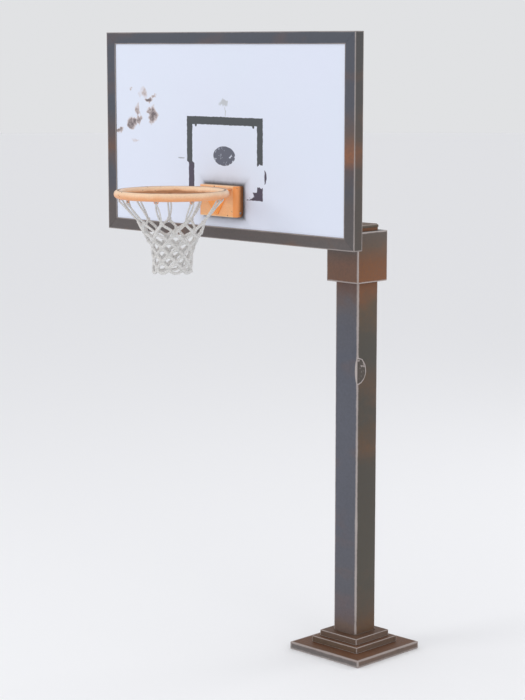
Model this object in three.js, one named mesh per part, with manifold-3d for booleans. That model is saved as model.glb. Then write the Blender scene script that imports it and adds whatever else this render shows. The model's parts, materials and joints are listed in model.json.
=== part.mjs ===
// Free-standing basketball hoop: a square post on a stepped steel base, a sleeve that slides on the post
// and carries the board on welded arms, and a ring on a sprung hinge that gives way when it is pulled down.
// Millimetres, +Z up. The origin is the centre of the base's underside, and the board faces -Y.

import * as THREE from 'three';
import { ConvexGeometry } from 'three/addons/geometries/ConvexGeometry.js';
import { mergeVertices } from 'three/addons/utils/BufferGeometryUtils.js';
import Module from 'manifold-3d';

const wasm = await Module();
wasm.setup();

// ---------- driving dimensions ----------

const GAP = 0.3; // room left between pieces that rest on each other
const RUNNING_GAP = 0.6; // room for a pin or screw that turns in its hole

const BASE = { side: 468, thick: 38, edge: 3 };
const LOWER_STEP = { side: 307, thick: 32, edge: 2.5 };
const UPPER_STEP = { side: 249, thick: 32, edge: 2.5 };

const POST = { side: 152, wall: 8, corner: 10, top: 2188 };
const CAP = { rise: 17, slope: 7, skirt: 25, wall: 4, slack: 1.5 };

// belowPost: post's open end to the collar's top, with the hoop at its highest
const COLLAR = {
  width: 211, depth: 222, height: 254, belowPost: 16, wall: 5, endWall: 6, corner: 6, slack: 2,
};
const PAD = { width: 110, slack: 0.5 };
const HEAD_PLATE = { margin: 1, height: 84, thick: 8, below: 4 };

// reach: post's axis to the board's front; rise: collar's top to the board's lower edge
const BOARD = { width: 1630, height: 956, reach: 934, rise: 20 };
const RAIL = { side: 62, edge: 56, depth: 54, wall: 1.5, lip: 15, lipThick: 3 };
const PANEL = { thick: 5, recess: 4 };
const UPRIGHT = { spread: 160, width: 40, wall: 2 };
const BRACE = { height: 30, wall: 2, aboveLow: 190, belowTop: 186 };
// start heights are measured down from the collar's top, end heights from the board's lower and upper edges
const ARM = { side: 40, wall: 2.5, lowStart: 60, lowEnd: 158, highStart: 26, highEnd: 278 };

// ahead: board's front to the ring's inner edge; rise: bracket's lower edge to the middle of the ring's tube
const RING = { inner: 450, tube: 37, wall: 3, ahead: 104, rise: 119, drain: 8, steps: 56 };
const HOOK = { count: 9, wire: 5, drop: 16, width: 18 };
const NET = { wall: 5, drop: 27, inset: 7, steps: 48 }; // drop: middle of the ring's tube to the net's top

// each rise below is measured up from the bracket's lower edge, and the bracket's own from the board's
const BRACKET = { depth: 45, rise: 111, height: 143, wall: 4, corner: 25, sideRoom: 18 };
const HINGE = { back: 16, rise: 19, pin: 10 }; // back: board's front to the pin
const MOUNT_PLATE = { edge: 23, rise: 9, height: 124, thick: 6 }; // edge: bolt centre to the plate's side
const LUG = { thick: 10, inset: 15, radius: 11 };
const INNER_PLATE = { rise: 43, height: 88, thick: 6, ahead: 14 };
const BOLT = { shank: 12, head: 19, headThick: 8, nutThick: 10, rise: 42, pitch: 70, tail: 4 };
const BACKING = { margin: 40, thick: 4 };
const TRAY = { inset: 25, thick: 6, belowTop: 2.5 };
const WEDGE = { topHalf: 88, frontHalf: 50, footHalf: 9, foot: 10, front: 92, wall: 3 };
const SPRING = { wire: 4.4, coil: 22, turns: 5, pitch: 6.2, offset: 38, leg: 26 };

const SCREW = { size: 16, reach: 62, hub: 28 };
const BOSS = { side: 38, thick: 20 };
const FOOT = { size: 26, thick: 8, hole: 32 };
const HANDLE = { size: 12, length: 150 };
const TIP = { size: 20, length: 26, bore: 16 };

// ---------- derived places ----------

const stepsTop = BASE.thick + LOWER_STEP.thick + UPPER_STEP.thick;
const collarTop = POST.top - COLLAR.belowPost;
const collarLow = collarTop - COLLAR.height;
const boardLow = collarTop + BOARD.rise;
const bracketLow = boardLow + BRACKET.rise;
const panelFront = PANEL.recess;
const panelBack = panelFront + PANEL.thick;
const lipFront = panelBack + GAP;
const lipBack = lipFront + RAIL.lipThick;
const barFront = lipBack + GAP + 1; // front of the uprights and braces, clear of the lips
const barDepth = RAIL.depth - barFront;
const boltX = UPRIGHT.spread / 2;
const boltRows = [['low', bracketLow + BOLT.rise], ['high', bracketLow + BOLT.rise + BOLT.pitch]];
const mountHalf = boltX + MOUNT_PLATE.edge;
const bracketHalf = mountHalf + BRACKET.sideRoom + BRACKET.wall;
const ringRadius = (RING.inner + RING.tube) / 2;
const tubeRadius = RING.tube / 2;
const hingeZ = bracketLow + HINGE.rise;
const screwZ = collarLow + COLLAR.height / 2;

// ---------- materials ----------

const paint = (color, roughness, metalness) =>
  new THREE.MeshStandardMaterial({ color, roughness, metalness });
const materials = {
  steel: paint(0x5c5e66, 0.55, 0.55),
  rust: paint(0x6b4a35, 0.75, 0.35),
  white: paint(0xdde3f2, 0.4, 0.0),
  orange: paint(0xe8a06a, 0.4, 0.1),
  zinc: paint(0x9a9ca0, 0.4, 0.9),
  spring: paint(0x3a3c40, 0.4, 0.9),
  nylon: paint(0x222326, 0.6, 0.0),
  cord: paint(0xe4e1dc, 0.9, 0.0),
};

// ---------- solids, cuts and joins ----------

function toSolid(geometry) {
  const bare = geometry.clone();
  bare.deleteAttribute('normal');
  bare.deleteAttribute('uv');
  const merged = mergeVertices(bare, 1e-4);
  return new wasm.Manifold(new wasm.Mesh({
    numProp: 3,
    vertProperties: new Float32Array(merged.attributes.position.array),
    triVerts: new Uint32Array(merged.index.array),
  }));
}

function toGeometry(solid) {
  const mesh = solid.getMesh();
  const geometry = new THREE.BufferGeometry();
  geometry.setAttribute('position', new THREE.BufferAttribute(new Float32Array(mesh.vertProperties), 3));
  geometry.setIndex(new THREE.BufferAttribute(new Uint32Array(mesh.triVerts), 1));
  geometry.computeVertexNormals();
  return geometry;
}

const join = (...geometries) => toGeometry(geometries.map(toSolid).reduce((a, b) => a.add(b)));
const common = (first, second) => toGeometry(toSolid(first).intersect(toSolid(second)));

function cut(body, ...tools) {
  return toGeometry(tools.map(toSolid).reduce((solid, tool) => solid.subtract(tool), toSolid(body)));
}

function piece(parent, name, geometry, material) {
  const mesh = new THREE.Mesh(geometry, material);
  mesh.name = name;
  parent.add(mesh);
  return mesh;
}

// ---------- outlines and basic forms ----------

const block = (x0, x1, y0, y1, z0, z1) =>
  new THREE.BoxGeometry(x1 - x0, y1 - y0, z1 - z0).translate((x0 + x1) / 2, (y0 + y1) / 2, (z0 + z1) / 2);

function roundedRect(width, height, radius, Form = THREE.Shape) {
  const x = width / 2 - radius;
  const y = height / 2 - radius;
  const outline = new Form();
  outline.absarc(x, y, radius, 0, Math.PI / 2);
  outline.absarc(-x, y, radius, Math.PI / 2, Math.PI);
  outline.absarc(-x, -y, radius, Math.PI, Math.PI * 1.5);
  outline.absarc(x, -y, radius, Math.PI * 1.5, Math.PI * 2);
  outline.closePath();
  return outline;
}

const extrude = (shape, depth, options = {}) =>
  new THREE.ExtrudeGeometry(shape, { depth, bevelEnabled: false, curveSegments: 3, ...options });

function softEdgedPlate(side, thick, edge) {
  const flat = new THREE.Shape();
  const half = side / 2 - edge;
  flat.moveTo(-half, -half).lineTo(half, -half).lineTo(half, half).lineTo(-half, half).closePath();
  const bevel = { bevelEnabled: true, bevelThickness: edge, bevelSize: edge, bevelSegments: 2 };
  return extrude(flat, thick - 2 * edge, bevel).translate(0, 0, edge);
}

// A rod or hole along an axis, from one end to the other.
function rod(axis, radius, from, to, segments = 16) {
  const shape = new THREE.CylinderGeometry(radius, radius, to - from, segments);
  shape.translate(0, (from + to) / 2, 0);
  if (axis === 'x') shape.rotateZ(-Math.PI / 2);
  if (axis === 'z') shape.rotateX(Math.PI / 2);
  return shape;
}

// A straight box tube whose length runs along X, Y or Z, open at both ends.
function boxTube([x0, x1], [y0, y1], [z0, z1], wall, along) {
  const outer = block(x0, x1, y0, y1, z0, z1);
  const inX = along === 'x' ? -1 : wall;
  const inY = along === 'y' ? -1 : wall;
  const inZ = along === 'z' ? -1 : wall;
  return cut(outer, block(x0 + inX, x1 - inX, y0 + inY, y1 - inY, z0 + inZ, z1 - inZ));
}

const mirrored = [['left', -1], ['right', 1]];

// ---------- stand: base, steps, post and cap ----------

function makeStand() {
  const stand = new THREE.Group();
  piece(stand, 'base_plate', softEdgedPlate(BASE.side, BASE.thick, BASE.edge), materials.rust);
  piece(stand, 'lower_step_plate',
    softEdgedPlate(LOWER_STEP.side, LOWER_STEP.thick - GAP, LOWER_STEP.edge), materials.rust)
    .position.z = BASE.thick + GAP;
  piece(stand, 'upper_step_plate',
    softEdgedPlate(UPPER_STEP.side, UPPER_STEP.thick - GAP, UPPER_STEP.edge), materials.rust)
    .position.z = BASE.thick + LOWER_STEP.thick + GAP;

  const section = roundedRect(POST.side, POST.side, POST.corner);
  const hollow = POST.side - 2 * POST.wall;
  section.holes.push(roundedRect(hollow, hollow, POST.corner - POST.wall, THREE.Path));
  piece(stand, 'post_tube', extrude(section, POST.top - stepsTop - GAP), materials.steel)
    .position.z = stepsTop + GAP;

  piece(stand, 'post_cap', capGeometry(), materials.steel).position.z = POST.top + GAP;
  return stand;
}

// A shallow pyramid top with a skirt that drops inside the tube.
function capGeometry() {
  const half = POST.side / 2;
  const topHalf = half - CAP.slope;
  const corners = [[half, 0], [half, CAP.rise - CAP.slope], [topHalf, CAP.rise]];
  const points = corners.flatMap(([h, z]) =>
    [[h, h], [-h, h], [-h, -h], [h, -h]].map(([x, y]) => new THREE.Vector3(x, y, z)));
  const skirtHalf = half - POST.wall - CAP.slack;
  const outer = block(-skirtHalf, skirtHalf, -skirtHalf, skirtHalf, -CAP.skirt, 1);
  const inHalf = skirtHalf - CAP.wall;
  const inner = block(-inHalf, inHalf, -inHalf, inHalf, -CAP.skirt - 1, CAP.wall);
  return cut(join(new ConvexGeometry(points), outer), inner);
}

// ---------- collar: the sleeve that slides on the post ----------

function makeCollar() {
  const collar = new THREE.Group();
  collar.position.z = collarLow;
  const inX = COLLAR.width / 2 - COLLAR.wall;
  const inY = COLLAR.depth / 2 - COLLAR.wall;
  const bore = POST.side / 2 + COLLAR.slack;
  const shell = extrude(roundedRect(COLLAR.width, COLLAR.depth, COLLAR.corner), COLLAR.height);
  const screwHole = rod('y', SCREW.size / 2 + RUNNING_GAP, inY - 1, COLLAR.depth / 2 + 1)
    .translate(0, 0, screwZ - collarLow);
  const sleeve = cut(shell,
    block(-inX, inX, -inY, inY, COLLAR.endWall, COLLAR.height - COLLAR.endWall),
    block(-bore, bore, -bore, bore, -1, COLLAR.height + 1), screwHole);
  piece(collar, 'collar_sleeve', sleeve, materials.steel);

  // plain bearing pads fill the room between the sleeve and the post
  const near = POST.side / 2 + PAD.slack;
  const low = COLLAR.endWall + PAD.slack;
  const high = COLLAR.height - COLLAR.endWall - PAD.slack;
  const half = PAD.width / 2;
  for (const [side, sign] of mirrored) {
    const [x0, x1] = [near, inX - GAP].map((x) => x * sign).sort((a, b) => a - b);
    piece(collar, `glide_pad_${side}`, block(x0, x1, -half, half, low, high), materials.nylon);
  }
  piece(collar, 'glide_pad_front', block(-half, half, -inY + GAP, -near, low, high), materials.nylon);
  const footHole = rod('y', FOOT.hole / 2, near - 1, inY, 24).translate(0, 0, screwZ - collarLow);
  const rearPad = block(-half, half, near, inY - GAP, low, high);
  piece(collar, 'glide_pad_rear', cut(rearPad, footHole), materials.nylon);

  const bossBack = COLLAR.depth / 2 + GAP;
  const side = BOSS.side / 2;
  const boss = block(-side, side, bossBack, bossBack + BOSS.thick, -side, side);
  const thread = rod('y', SCREW.size / 2 + RUNNING_GAP, bossBack - 1, bossBack + BOSS.thick + 1);
  piece(collar, 'clamp_boss', cut(boss, thread), materials.steel).position.z = screwZ - collarLow;

  const plateTop = COLLAR.height - HEAD_PLATE.below;
  const plateBack = -COLLAR.depth / 2 - GAP;
  const plateHalf = boltX + ARM.side / 2 + HEAD_PLATE.margin;
  piece(collar, 'head_plate', block(-plateHalf, plateHalf,
    plateBack - HEAD_PLATE.thick, plateBack, plateTop - HEAD_PLATE.height, plateTop), materials.steel);
  return collar;
}

// ---------- clamp screw: presses a foot on the post to hold the height ----------

function makeClamp() {
  const clamp = new THREE.Group();
  clamp.position.z = screwZ;
  const footFront = POST.side / 2 + GAP;
  const footBack = footFront + FOOT.thick;
  piece(clamp, 'clamp_foot', rod('y', FOOT.size / 2, footFront, footBack, 24), materials.nylon);

  const bossEnd = COLLAR.depth / 2 + GAP + BOSS.thick;
  const hubY = bossEnd + SCREW.reach - SCREW.hub / 2;
  const shaft = rod('y', SCREW.size / 2, footBack + GAP, hubY);
  const hub = rod('x', SCREW.hub / 2, -SCREW.hub / 2, SCREW.hub / 2, 20).translate(0, hubY, 0);
  const crossHole = rod('z', HANDLE.size / 2 + GAP, -SCREW.hub, SCREW.hub).translate(0, hubY, 0);
  piece(clamp, 'clamp_screw', cut(join(shaft, hub), crossHole), materials.zinc);

  const reach = HANDLE.length / 2;
  piece(clamp, 'clamp_handle', rod('z', HANDLE.size / 2, -reach, reach), materials.zinc).position.y = hubY;
  const inside = reach - TIP.bore;
  for (const [end, sign] of [['top', 1], ['bottom', -1]]) {
    const ends = (a, b) => [a * sign, b * sign].sort((p, q) => p - q);
    const cup = rod('z', TIP.size / 2, ...ends(inside, inside + TIP.length), 20);
    const bore = rod('z', HANDLE.size / 2 + GAP, ...ends(inside - 1, reach + GAP));
    piece(clamp, `handle_tip_${end}`, cut(cup, bore), materials.nylon).position.y = hubY;
  }
  return clamp;
}

// ---------- arms: box tubes from the head plate to the board's uprights ----------

function makeArms() {
  const arms = new THREE.Group();
  const startY = -COLLAR.depth / 2 - 2 * GAP - HEAD_PLATE.thick;
  const endY = -BOARD.reach + RAIL.depth + GAP;
  const lower = [startY, collarTop - ARM.lowStart, endY, boardLow + ARM.lowEnd];
  const upper = [startY, collarTop - ARM.highStart, endY, boardLow + BOARD.height - ARM.highEnd];
  const tube = (run) => cut(armBar(...run, ARM.side, 0), armBar(...run, ARM.side - 2 * ARM.wall, 1));
  // the upper arm starts on the lower one, so its foot is notched to sit on it
  const notch = armBar(...lower, ARM.side + 2 * GAP, 0);
  for (const [side, sign] of mirrored) {
    piece(arms, `arm_lower_${side}`, tube(lower), materials.steel).position.x = sign * boltX;
    piece(arms, `arm_upper_${side}`, cut(tube(upper), notch), materials.steel).position.x = sign * boltX;
  }
  return arms;
}

// A sloping bar whose two ends are cut upright, to sit flat on what they are welded to.
function armBar(startY, startZ, endY, endZ, side, past) {
  const slope = (endZ - startZ) / (endY - startY);
  const half = side / 2 * Math.hypot(1, slope); // half height of the upright cut
  const [y0, y1] = [startY + past, endY - past];
  const z0 = startZ + past * slope;
  const z1 = endZ - past * slope;
  const shape = new THREE.Shape();
  shape.moveTo(y0, z0 - half).lineTo(y0, z0 + half).lineTo(y1, z1 + half).lineTo(y1, z1 - half).closePath();
  // the outline's first axis becomes Y, its second becomes Z and its depth runs along X
  const turn = new THREE.Matrix4().makeBasis(
    new THREE.Vector3(0, 1, 0), new THREE.Vector3(0, 0, 1), new THREE.Vector3(1, 0, 0));
  return extrude(shape, side).applyMatrix4(turn).translate(-side / 2, 0, 0);
}

// ---------- board: frame, panel and the tubes behind it ----------

function makeBoard() {
  const board = new THREE.Group();
  board.position.set(0, -BOARD.reach, boardLow);
  const openHalf = BOARD.width / 2 - RAIL.side;
  const openLow = RAIL.edge;
  const openHigh = BOARD.height - RAIL.edge;

  piece(board, 'frame_left', frameRail('left'), materials.steel);
  piece(board, 'frame_right', frameRail('right'), materials.steel);
  piece(board, 'frame_top', frameRail('top'), materials.steel);
  piece(board, 'frame_bottom', frameRail('bottom'), materials.steel);

  const bolts = boltRows.flatMap(([, z]) => mirrored.map(([, sign]) => [sign * boltX, z - boardLow]));
  const drill = (geometry, from, to) => cut(geometry, ...bolts.map(([x, z]) =>
    rod('y', BOLT.shank / 2 + GAP, from, to).translate(x, 0, z)));

  const panel = block(-openHalf + GAP, openHalf - GAP, panelFront, panelBack, openLow + GAP, openHigh - GAP);
  piece(board, 'backboard_panel', drill(panel, 0, panelBack + 1), materials.white);

  const backingHalf = boltX + BACKING.margin;
  const backing = block(-backingHalf, backingHalf, lipFront, lipFront + BACKING.thick,
    bolts[0][1] - BACKING.margin, bolts[0][1] + BOLT.pitch + BACKING.margin);
  piece(board, 'rim_backing_plate', drill(backing, panelBack, barFront), materials.steel);

  const half = UPRIGHT.width / 2;
  const barBack = barFront + barDepth;
  for (const [side, sign] of mirrored) {
    const centre = sign * boltX;
    const upright = boxTube([centre - half, centre + half], [barFront, barBack],
      [openLow + GAP, openHigh - GAP], UPRIGHT.wall, 'z');
    piece(board, `upright_${side}`, drill(upright, barFront - 1, barBack + 1), materials.steel);
    const ends = [centre + sign * (half + GAP), sign * (openHalf - GAP)].sort((a, b) => a - b);
    for (const [level, middle] of [['lower', BRACE.aboveLow], ['upper', BOARD.height - BRACE.belowTop]]) {
      const height = [middle - BRACE.height / 2, middle + BRACE.height / 2];
      piece(board, `side_brace_${level}_${side}`,
        boxTube(ends, [barFront, barBack], height, BRACE.wall, 'x'), materials.steel);
    }
  }
  return board;
}

// One frame rail: a box tube with a lip behind the panel's edge, mitred at both ends.
function frameRail(side) {
  const upright = side === 'left' || side === 'right';
  const face = upright ? RAIL.side : RAIL.edge;
  const length = upright ? BOARD.height : BOARD.width;
  // cross-section: x is 0 on the rail's outer face and grows towards the board's middle, y is depth
  const section = new THREE.Shape();
  section.moveTo(0, 0).lineTo(face, 0).lineTo(face, lipFront).lineTo(face + RAIL.lip, lipFront)
    .lineTo(face + RAIL.lip, lipBack).lineTo(face, lipBack).lineTo(face, RAIL.depth).lineTo(0, RAIL.depth)
    .closePath();
  const hollow = new THREE.Path();
  const [a, b, c] = [RAIL.wall, face - RAIL.wall, RAIL.depth - RAIL.wall];
  hollow.moveTo(a, a).lineTo(b, a).lineTo(b, c).lineTo(a, c).closePath();
  section.holes.push(hollow);
  const bar = extrude(section, length);

  const axes = {
    left: [[1, 0, 0], [0, 1, 0], [0, 0, 1], [-BOARD.width / 2, 0, 0]],
    right: [[-1, 0, 0], [0, 1, 0], [0, 0, -1], [BOARD.width / 2, 0, BOARD.height]],
    bottom: [[0, 0, 1], [0, 1, 0], [-1, 0, 0], [BOARD.width / 2, 0, 0]],
    top: [[0, 0, -1], [0, 1, 0], [1, 0, 0], [-BOARD.width / 2, 0, BOARD.height]],
  }[side];
  const [across, depth, along, start] = axes.map((v) => new THREE.Vector3(...v));
  bar.applyMatrix4(new THREE.Matrix4().makeBasis(across, depth, along).setPosition(start));
  return common(bar, mitreBlock(side));
}

// The room that a rail may fill: a trapezium whose slanted ends run through the frame's corners.
function mitreBlock(side) {
  const halfWidth = BOARD.width / 2;
  const reach = (RAIL.side + RAIL.lip + 5) / RAIL.side; // how far the slant runs in, in rail widths
  const [inX, inZ] = [RAIL.side * reach, RAIL.edge * reach];
  const top = BOARD.height;
  const gap = GAP / 2;
  const outlines = {
    left: [[-halfWidth, gap], [-halfWidth + inX, inZ + gap], [-halfWidth + inX, top - inZ - gap],
      [-halfWidth, top - gap]],
    right: [[halfWidth, top - gap], [halfWidth - inX, top - inZ - gap], [halfWidth - inX, inZ + gap],
      [halfWidth, gap]],
    bottom: [[-halfWidth, -gap], [halfWidth, -gap], [halfWidth - inX, inZ - gap],
      [-halfWidth + inX, inZ - gap]],
    top: [[halfWidth, top + gap], [-halfWidth, top + gap], [-halfWidth + inX, top - inZ + gap],
      [halfWidth - inX, top - inZ + gap]],
  };
  const shape = new THREE.Shape(outlines[side].map(([x, z]) => new THREE.Vector2(x, z)));
  // the outline's second axis becomes Z, so its depth runs towards -Y
  return extrude(shape, RAIL.depth + 10).rotateX(Math.PI / 2).translate(0, RAIL.depth + 5, 0);
}

// ---------- rim mount: the fixed half of the sprung hinge ----------

function makeRimMount() {
  const mount = new THREE.Group();
  mount.position.y = -BOARD.reach;
  const plateBack = panelFront - GAP;
  const plateFront = plateBack - MOUNT_PLATE.thick;
  const bolts = boltRows.flatMap(([level, z]) =>
    mirrored.map(([side, sign]) => [`${level}_${side}`, sign * boltX, z]));

  const plateLow = bracketLow + MOUNT_PLATE.rise;
  const plate = block(-mountHalf, mountHalf, plateFront, plateBack, plateLow, plateLow + MOUNT_PLATE.height);
  const lugs = mirrored.map(([, sign]) => {
    const lugSide = mountHalf - LUG.inset;
    const [x0, x1] = [sign * (lugSide - LUG.thick), sign * lugSide].sort((a, b) => a - b);
    const web = block(x0, x1, -HINGE.back, plateFront + 1, hingeZ - LUG.radius + 1, hingeZ + LUG.radius);
    return join(web, rod('x', LUG.radius - 1, x0, x1, 24).translate(0, -HINGE.back, hingeZ));
  });
  const pinHole = rod('x', HINGE.pin / 2 + RUNNING_GAP, -mountHalf, mountHalf)
    .translate(0, -HINGE.back, hingeZ);
  const holes = bolts.map(([, x, z]) => rod('y', BOLT.shank / 2 + GAP, plateFront - 1, plateBack + 1)
    .translate(x, 0, z));
  piece(mount, 'rim_mount_plate', cut(join(plate, ...lugs), pinHole, ...holes), materials.orange);

  const pinHalf = bracketHalf + 3;
  piece(mount, 'hinge_pin', rod('x', HINGE.pin / 2, -pinHalf, pinHalf), materials.zinc)
    .position.set(0, -HINGE.back, hingeZ);

  const nutFront = RAIL.depth + GAP;
  for (const [name, x, z] of bolts) {
    const head = rod('y', BOLT.head / 2, plateFront - GAP - BOLT.headThick, plateFront - GAP, 6);
    const shank = rod('y', BOLT.shank / 2, plateFront - GAP - 1, nutFront + BOLT.nutThick + BOLT.tail);
    piece(mount, `rim_bolt_${name}`, join(head, shank), materials.zinc).position.set(x, 0, z);
    const nut = rod('y', BOLT.head / 2, nutFront, nutFront + BOLT.nutThick, 6);
    const bore = rod('y', BOLT.shank / 2 + GAP, nutFront - 1, nutFront + BOLT.nutThick + 1);
    piece(mount, `rim_nut_${name}`, cut(nut, bore), materials.zinc).position.set(x, 0, z);
  }

  for (const [side, sign] of mirrored) {
    piece(mount, `torsion_spring_${side}`, springGeometry(), materials.spring)
      .position.set(sign * SPRING.offset, -HINGE.back, hingeZ);
  }
  return mount;
}

// A coil round the hinge pin whose one leg stands up against the mount plate.
function springGeometry() {
  const radius = (SPRING.coil - SPRING.wire) / 2;
  const perTurn = 12;
  const steps = SPRING.turns * perTurn;
  const half = SPRING.turns * SPRING.pitch / 2;
  const points = [];
  for (let i = 0; i <= steps; i += 1) {
    const turn = i / perTurn;
    const angle = turn * Math.PI * 2;
    const along = turn * SPRING.pitch - half;
    points.push(new THREE.Vector3(along, radius * Math.cos(angle), radius * Math.sin(angle)));
  }
  points.push(new THREE.Vector3(half, radius, SPRING.leg / 2), new THREE.Vector3(half, radius, SPRING.leg));
  const wire = new THREE.Shape().absarc(0, 0, SPRING.wire / 2, 0, Math.PI * 2);
  const path = new THREE.CatmullRomCurve3(points);
  return new THREE.ExtrudeGeometry(wire, { steps: steps + 6, curveSegments: 3, extrudePath: path });
}

// ---------- rim: everything that tips down with the ring ----------

function makeRim() {
  const rim = new THREE.Group();
  rim.position.set(0, -BOARD.reach - HINGE.back, hingeZ);
  // pieces below are placed from the hinge's axis
  const front = HINGE.back - BRACKET.depth; // outer face of the bracket
  const low = -HINGE.rise;
  const ringCentre = [0, HINGE.back - RING.ahead - RING.inner / 2, RING.rise - HINGE.rise];

  piece(rim, 'rim_bracket', bracketGeometry(front, low), materials.orange);

  const plateLow = low + INNER_PLATE.rise;
  const plateHalf = bracketHalf - BRACKET.wall - GAP;
  const plateFront = HINGE.back - INNER_PLATE.ahead - INNER_PLATE.thick;
  piece(rim, 'bracket_inner_plate', block(-plateHalf, plateHalf, plateFront, plateFront + INNER_PLATE.thick,
    plateLow, plateLow + INNER_PLATE.height), materials.orange);

  const ringTube = (extra) => new THREE.TorusGeometry(ringRadius, tubeRadius + extra, 12, RING.steps)
    .translate(...ringCentre);
  const trayTop = ringCentre[2] + tubeRadius - TRAY.belowTop;
  const trayHalf = bracketHalf - TRAY.inset;
  const tray = block(-trayHalf, trayHalf, front - 2 * RING.tube, front - GAP,
    trayTop - TRAY.thick, trayTop);
  const insideRing = rod('z', ringRadius, trayTop - 3 * TRAY.thick, trayTop + TRAY.thick, RING.steps)
    .translate(ringCentre[0], ringCentre[1], 0);
  piece(rim, 'ring_tray', cut(tray, insideRing, ringTube(GAP)), materials.orange);

  const wedge = wedgeGeometry(front, low, trayTop - TRAY.thick);
  piece(rim, 'brace_wedge', cut(wedge, ringTube(GAP)), materials.orange);
  const ring = piece(rim, 'ring', ringGeometry(), materials.orange);
  ring.position.set(...ringCentre);
  const net = piece(rim, 'net', netGeometry(), materials.cord);
  net.position.set(ringCentre[0], ringCentre[1], ringCentre[2] - NET.drop);
  return rim;
}

// A folded steel cover with round front corners: a front, two sides and a top, open behind and below.
function bracketGeometry(front, low) {
  const wide = bracketHalf + 1; // half length of a tool that cuts right across the bracket
  const back = HINGE.back + panelFront - 2 * GAP;
  const shell = (inset) => {
    const [w, d] = [2 * (bracketHalf - inset), 2 * (back - front - inset)];
    return extrude(roundedRect(w, d, BRACKET.corner - inset), BRACKET.height, { curveSegments: 6 })
      .translate(0, back, low);
  };
  const behind = block(-wide, wide, back, back + 3 * BRACKET.depth, low - 1, low + BRACKET.height + 1);
  const hollow = cut(shell(BRACKET.wall),
    block(-wide, wide, front - 1, back + 99, low + BRACKET.height - BRACKET.wall,
      low + BRACKET.height + 1));
  const lowered = hollow.clone().translate(0, 0, -BRACKET.wall);
  // the lower back corners are rounded about the pin, so that they clear the panel as the rim tips
  const swing = back - 1;
  const corner = cut(block(-wide, wide, 0, back + 1, low - 1, 0),
    rod('x', swing, -wide, wide, 40));
  const pinHole = rod('x', HINGE.pin / 2 + GAP, -wide, wide);
  return cut(shell(0), behind, hollow, lowered, corner, pinHole);
}

// The folded brace under the ring: wide at the top, narrow at its foot, open above and behind.
function wedgeGeometry(front, low, top) {
  const hull = (inset, rise) => {
    const face = front - GAP + (inset ? WEDGE.wall : 0);
    const foot = low + WEDGE.foot + inset * 1.6;
    const nose = HINGE.back - WEDGE.front + inset;
    const points = [1, -1].flatMap((s) => [
      [s * (WEDGE.topHalf - inset * 1.5), face, top - GAP + rise],
      [s * (WEDGE.frontHalf - inset), nose, top - GAP + rise],
      [s * (WEDGE.footHalf - inset * 0.6), face, foot],
      [s * (WEDGE.footHalf - inset * 0.6), Math.min(front - GAP - 6 + inset, face - 1), foot],
    ]);
    return new ConvexGeometry(points.map((p) => new THREE.Vector3(...p)));
  };
  return cut(hull(0, 0), hull(WEDGE.wall, 0), hull(WEDGE.wall, 0).translate(0, 0, 2));
}

// A hollow tube bent to a ring, with drain holes and a row of small wire hooks for the net.
function ringGeometry() {
  const outer = new THREE.TorusGeometry(ringRadius, tubeRadius, 12, RING.steps);
  const inner = new THREE.TorusGeometry(ringRadius, tubeRadius - RING.wall, 8, RING.steps);
  const drains = [0, 1, 2].map((i) => {
    const angle = (i / 3 + 1 / 4) * Math.PI * 2;
    return rod('z', RING.drain / 2, -RING.tube, 0, 10)
      .translate(ringRadius * Math.cos(angle), ringRadius * Math.sin(angle), 0);
  });
  const hooks = [];
  const hookRadius = RING.inner / 2 + HOOK.wire * 1.4;
  for (let i = 0; i < HOOK.count; i += 1) {
    const angle = (i / HOOK.count + 0.5) * Math.PI * 2;
    hooks.push(hookGeometry().translate(hookRadius, 0, 0).rotateZ(angle));
  }
  return cut(join(outer, ...hooks), inner, ...drains);
}

// One hook: a wire bent to a U that hangs below the tube, its two ends welded into it.
function hookGeometry() {
  const [half, rise] = [HOOK.width / 2, -tubeRadius * 0.72];
  const drop = -tubeRadius - HOOK.drop + HOOK.wire;
  const points = [[-half, rise], [-half, (rise + drop) / 2], [-half * 0.6, drop + 2], [0, drop],
    [half * 0.6, drop + 2], [half, (rise + drop) / 2], [half, rise]];
  const path = new THREE.CatmullRomCurve3(points.map(([y, z]) => new THREE.Vector3(0, y, z)));
  const wire = new THREE.Shape().absarc(0, 0, HOOK.wire / 2, 0, Math.PI * 2);
  return new THREE.ExtrudeGeometry(wire, { steps: 10, curveSegments: 3, extrudePath: path });
}

// The net as one thin tapered sleeve: radius and height, from the hooks down to the open foot.
function netGeometry() {
  const mouth = RING.inner / 2 - NET.inset;
  const profile = [[mouth, 0], [158, -98], [134, -146], [104, -201], [91, -274], [88, -329]];
  const outer = profile.map(([r, z]) => new THREE.Vector2(r, z));
  const inner = profile.map(([r, z]) => new THREE.Vector2(r - NET.wall, z)).reverse();
  const loop = [...outer, ...inner, outer[0]].reverse();
  return new THREE.LatheGeometry(loop, NET.steps).rotateX(Math.PI / 2);
}

// ---------- the whole hoop ----------

const hoop = new THREE.Group();
hoop.add(makeStand(), makeCollar(), makeClamp(), makeArms(), makeBoard(), makeRimMount(), makeRim());

export default hoop;
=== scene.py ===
# %% [markdown]
# # A weathered basketball hoop
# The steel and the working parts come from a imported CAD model, which this file loads as a fixed
# frame. What is added here is what the eye reads: paint, rust, the chipped target, a weld, wire
# hooks and the knotted net. Each step has a note first and then short cells of code.

# %% Load the frame
import json
import math
from functools import partial

import bmesh
import bpy
from mathutils import Matrix, Vector, noise

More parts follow.
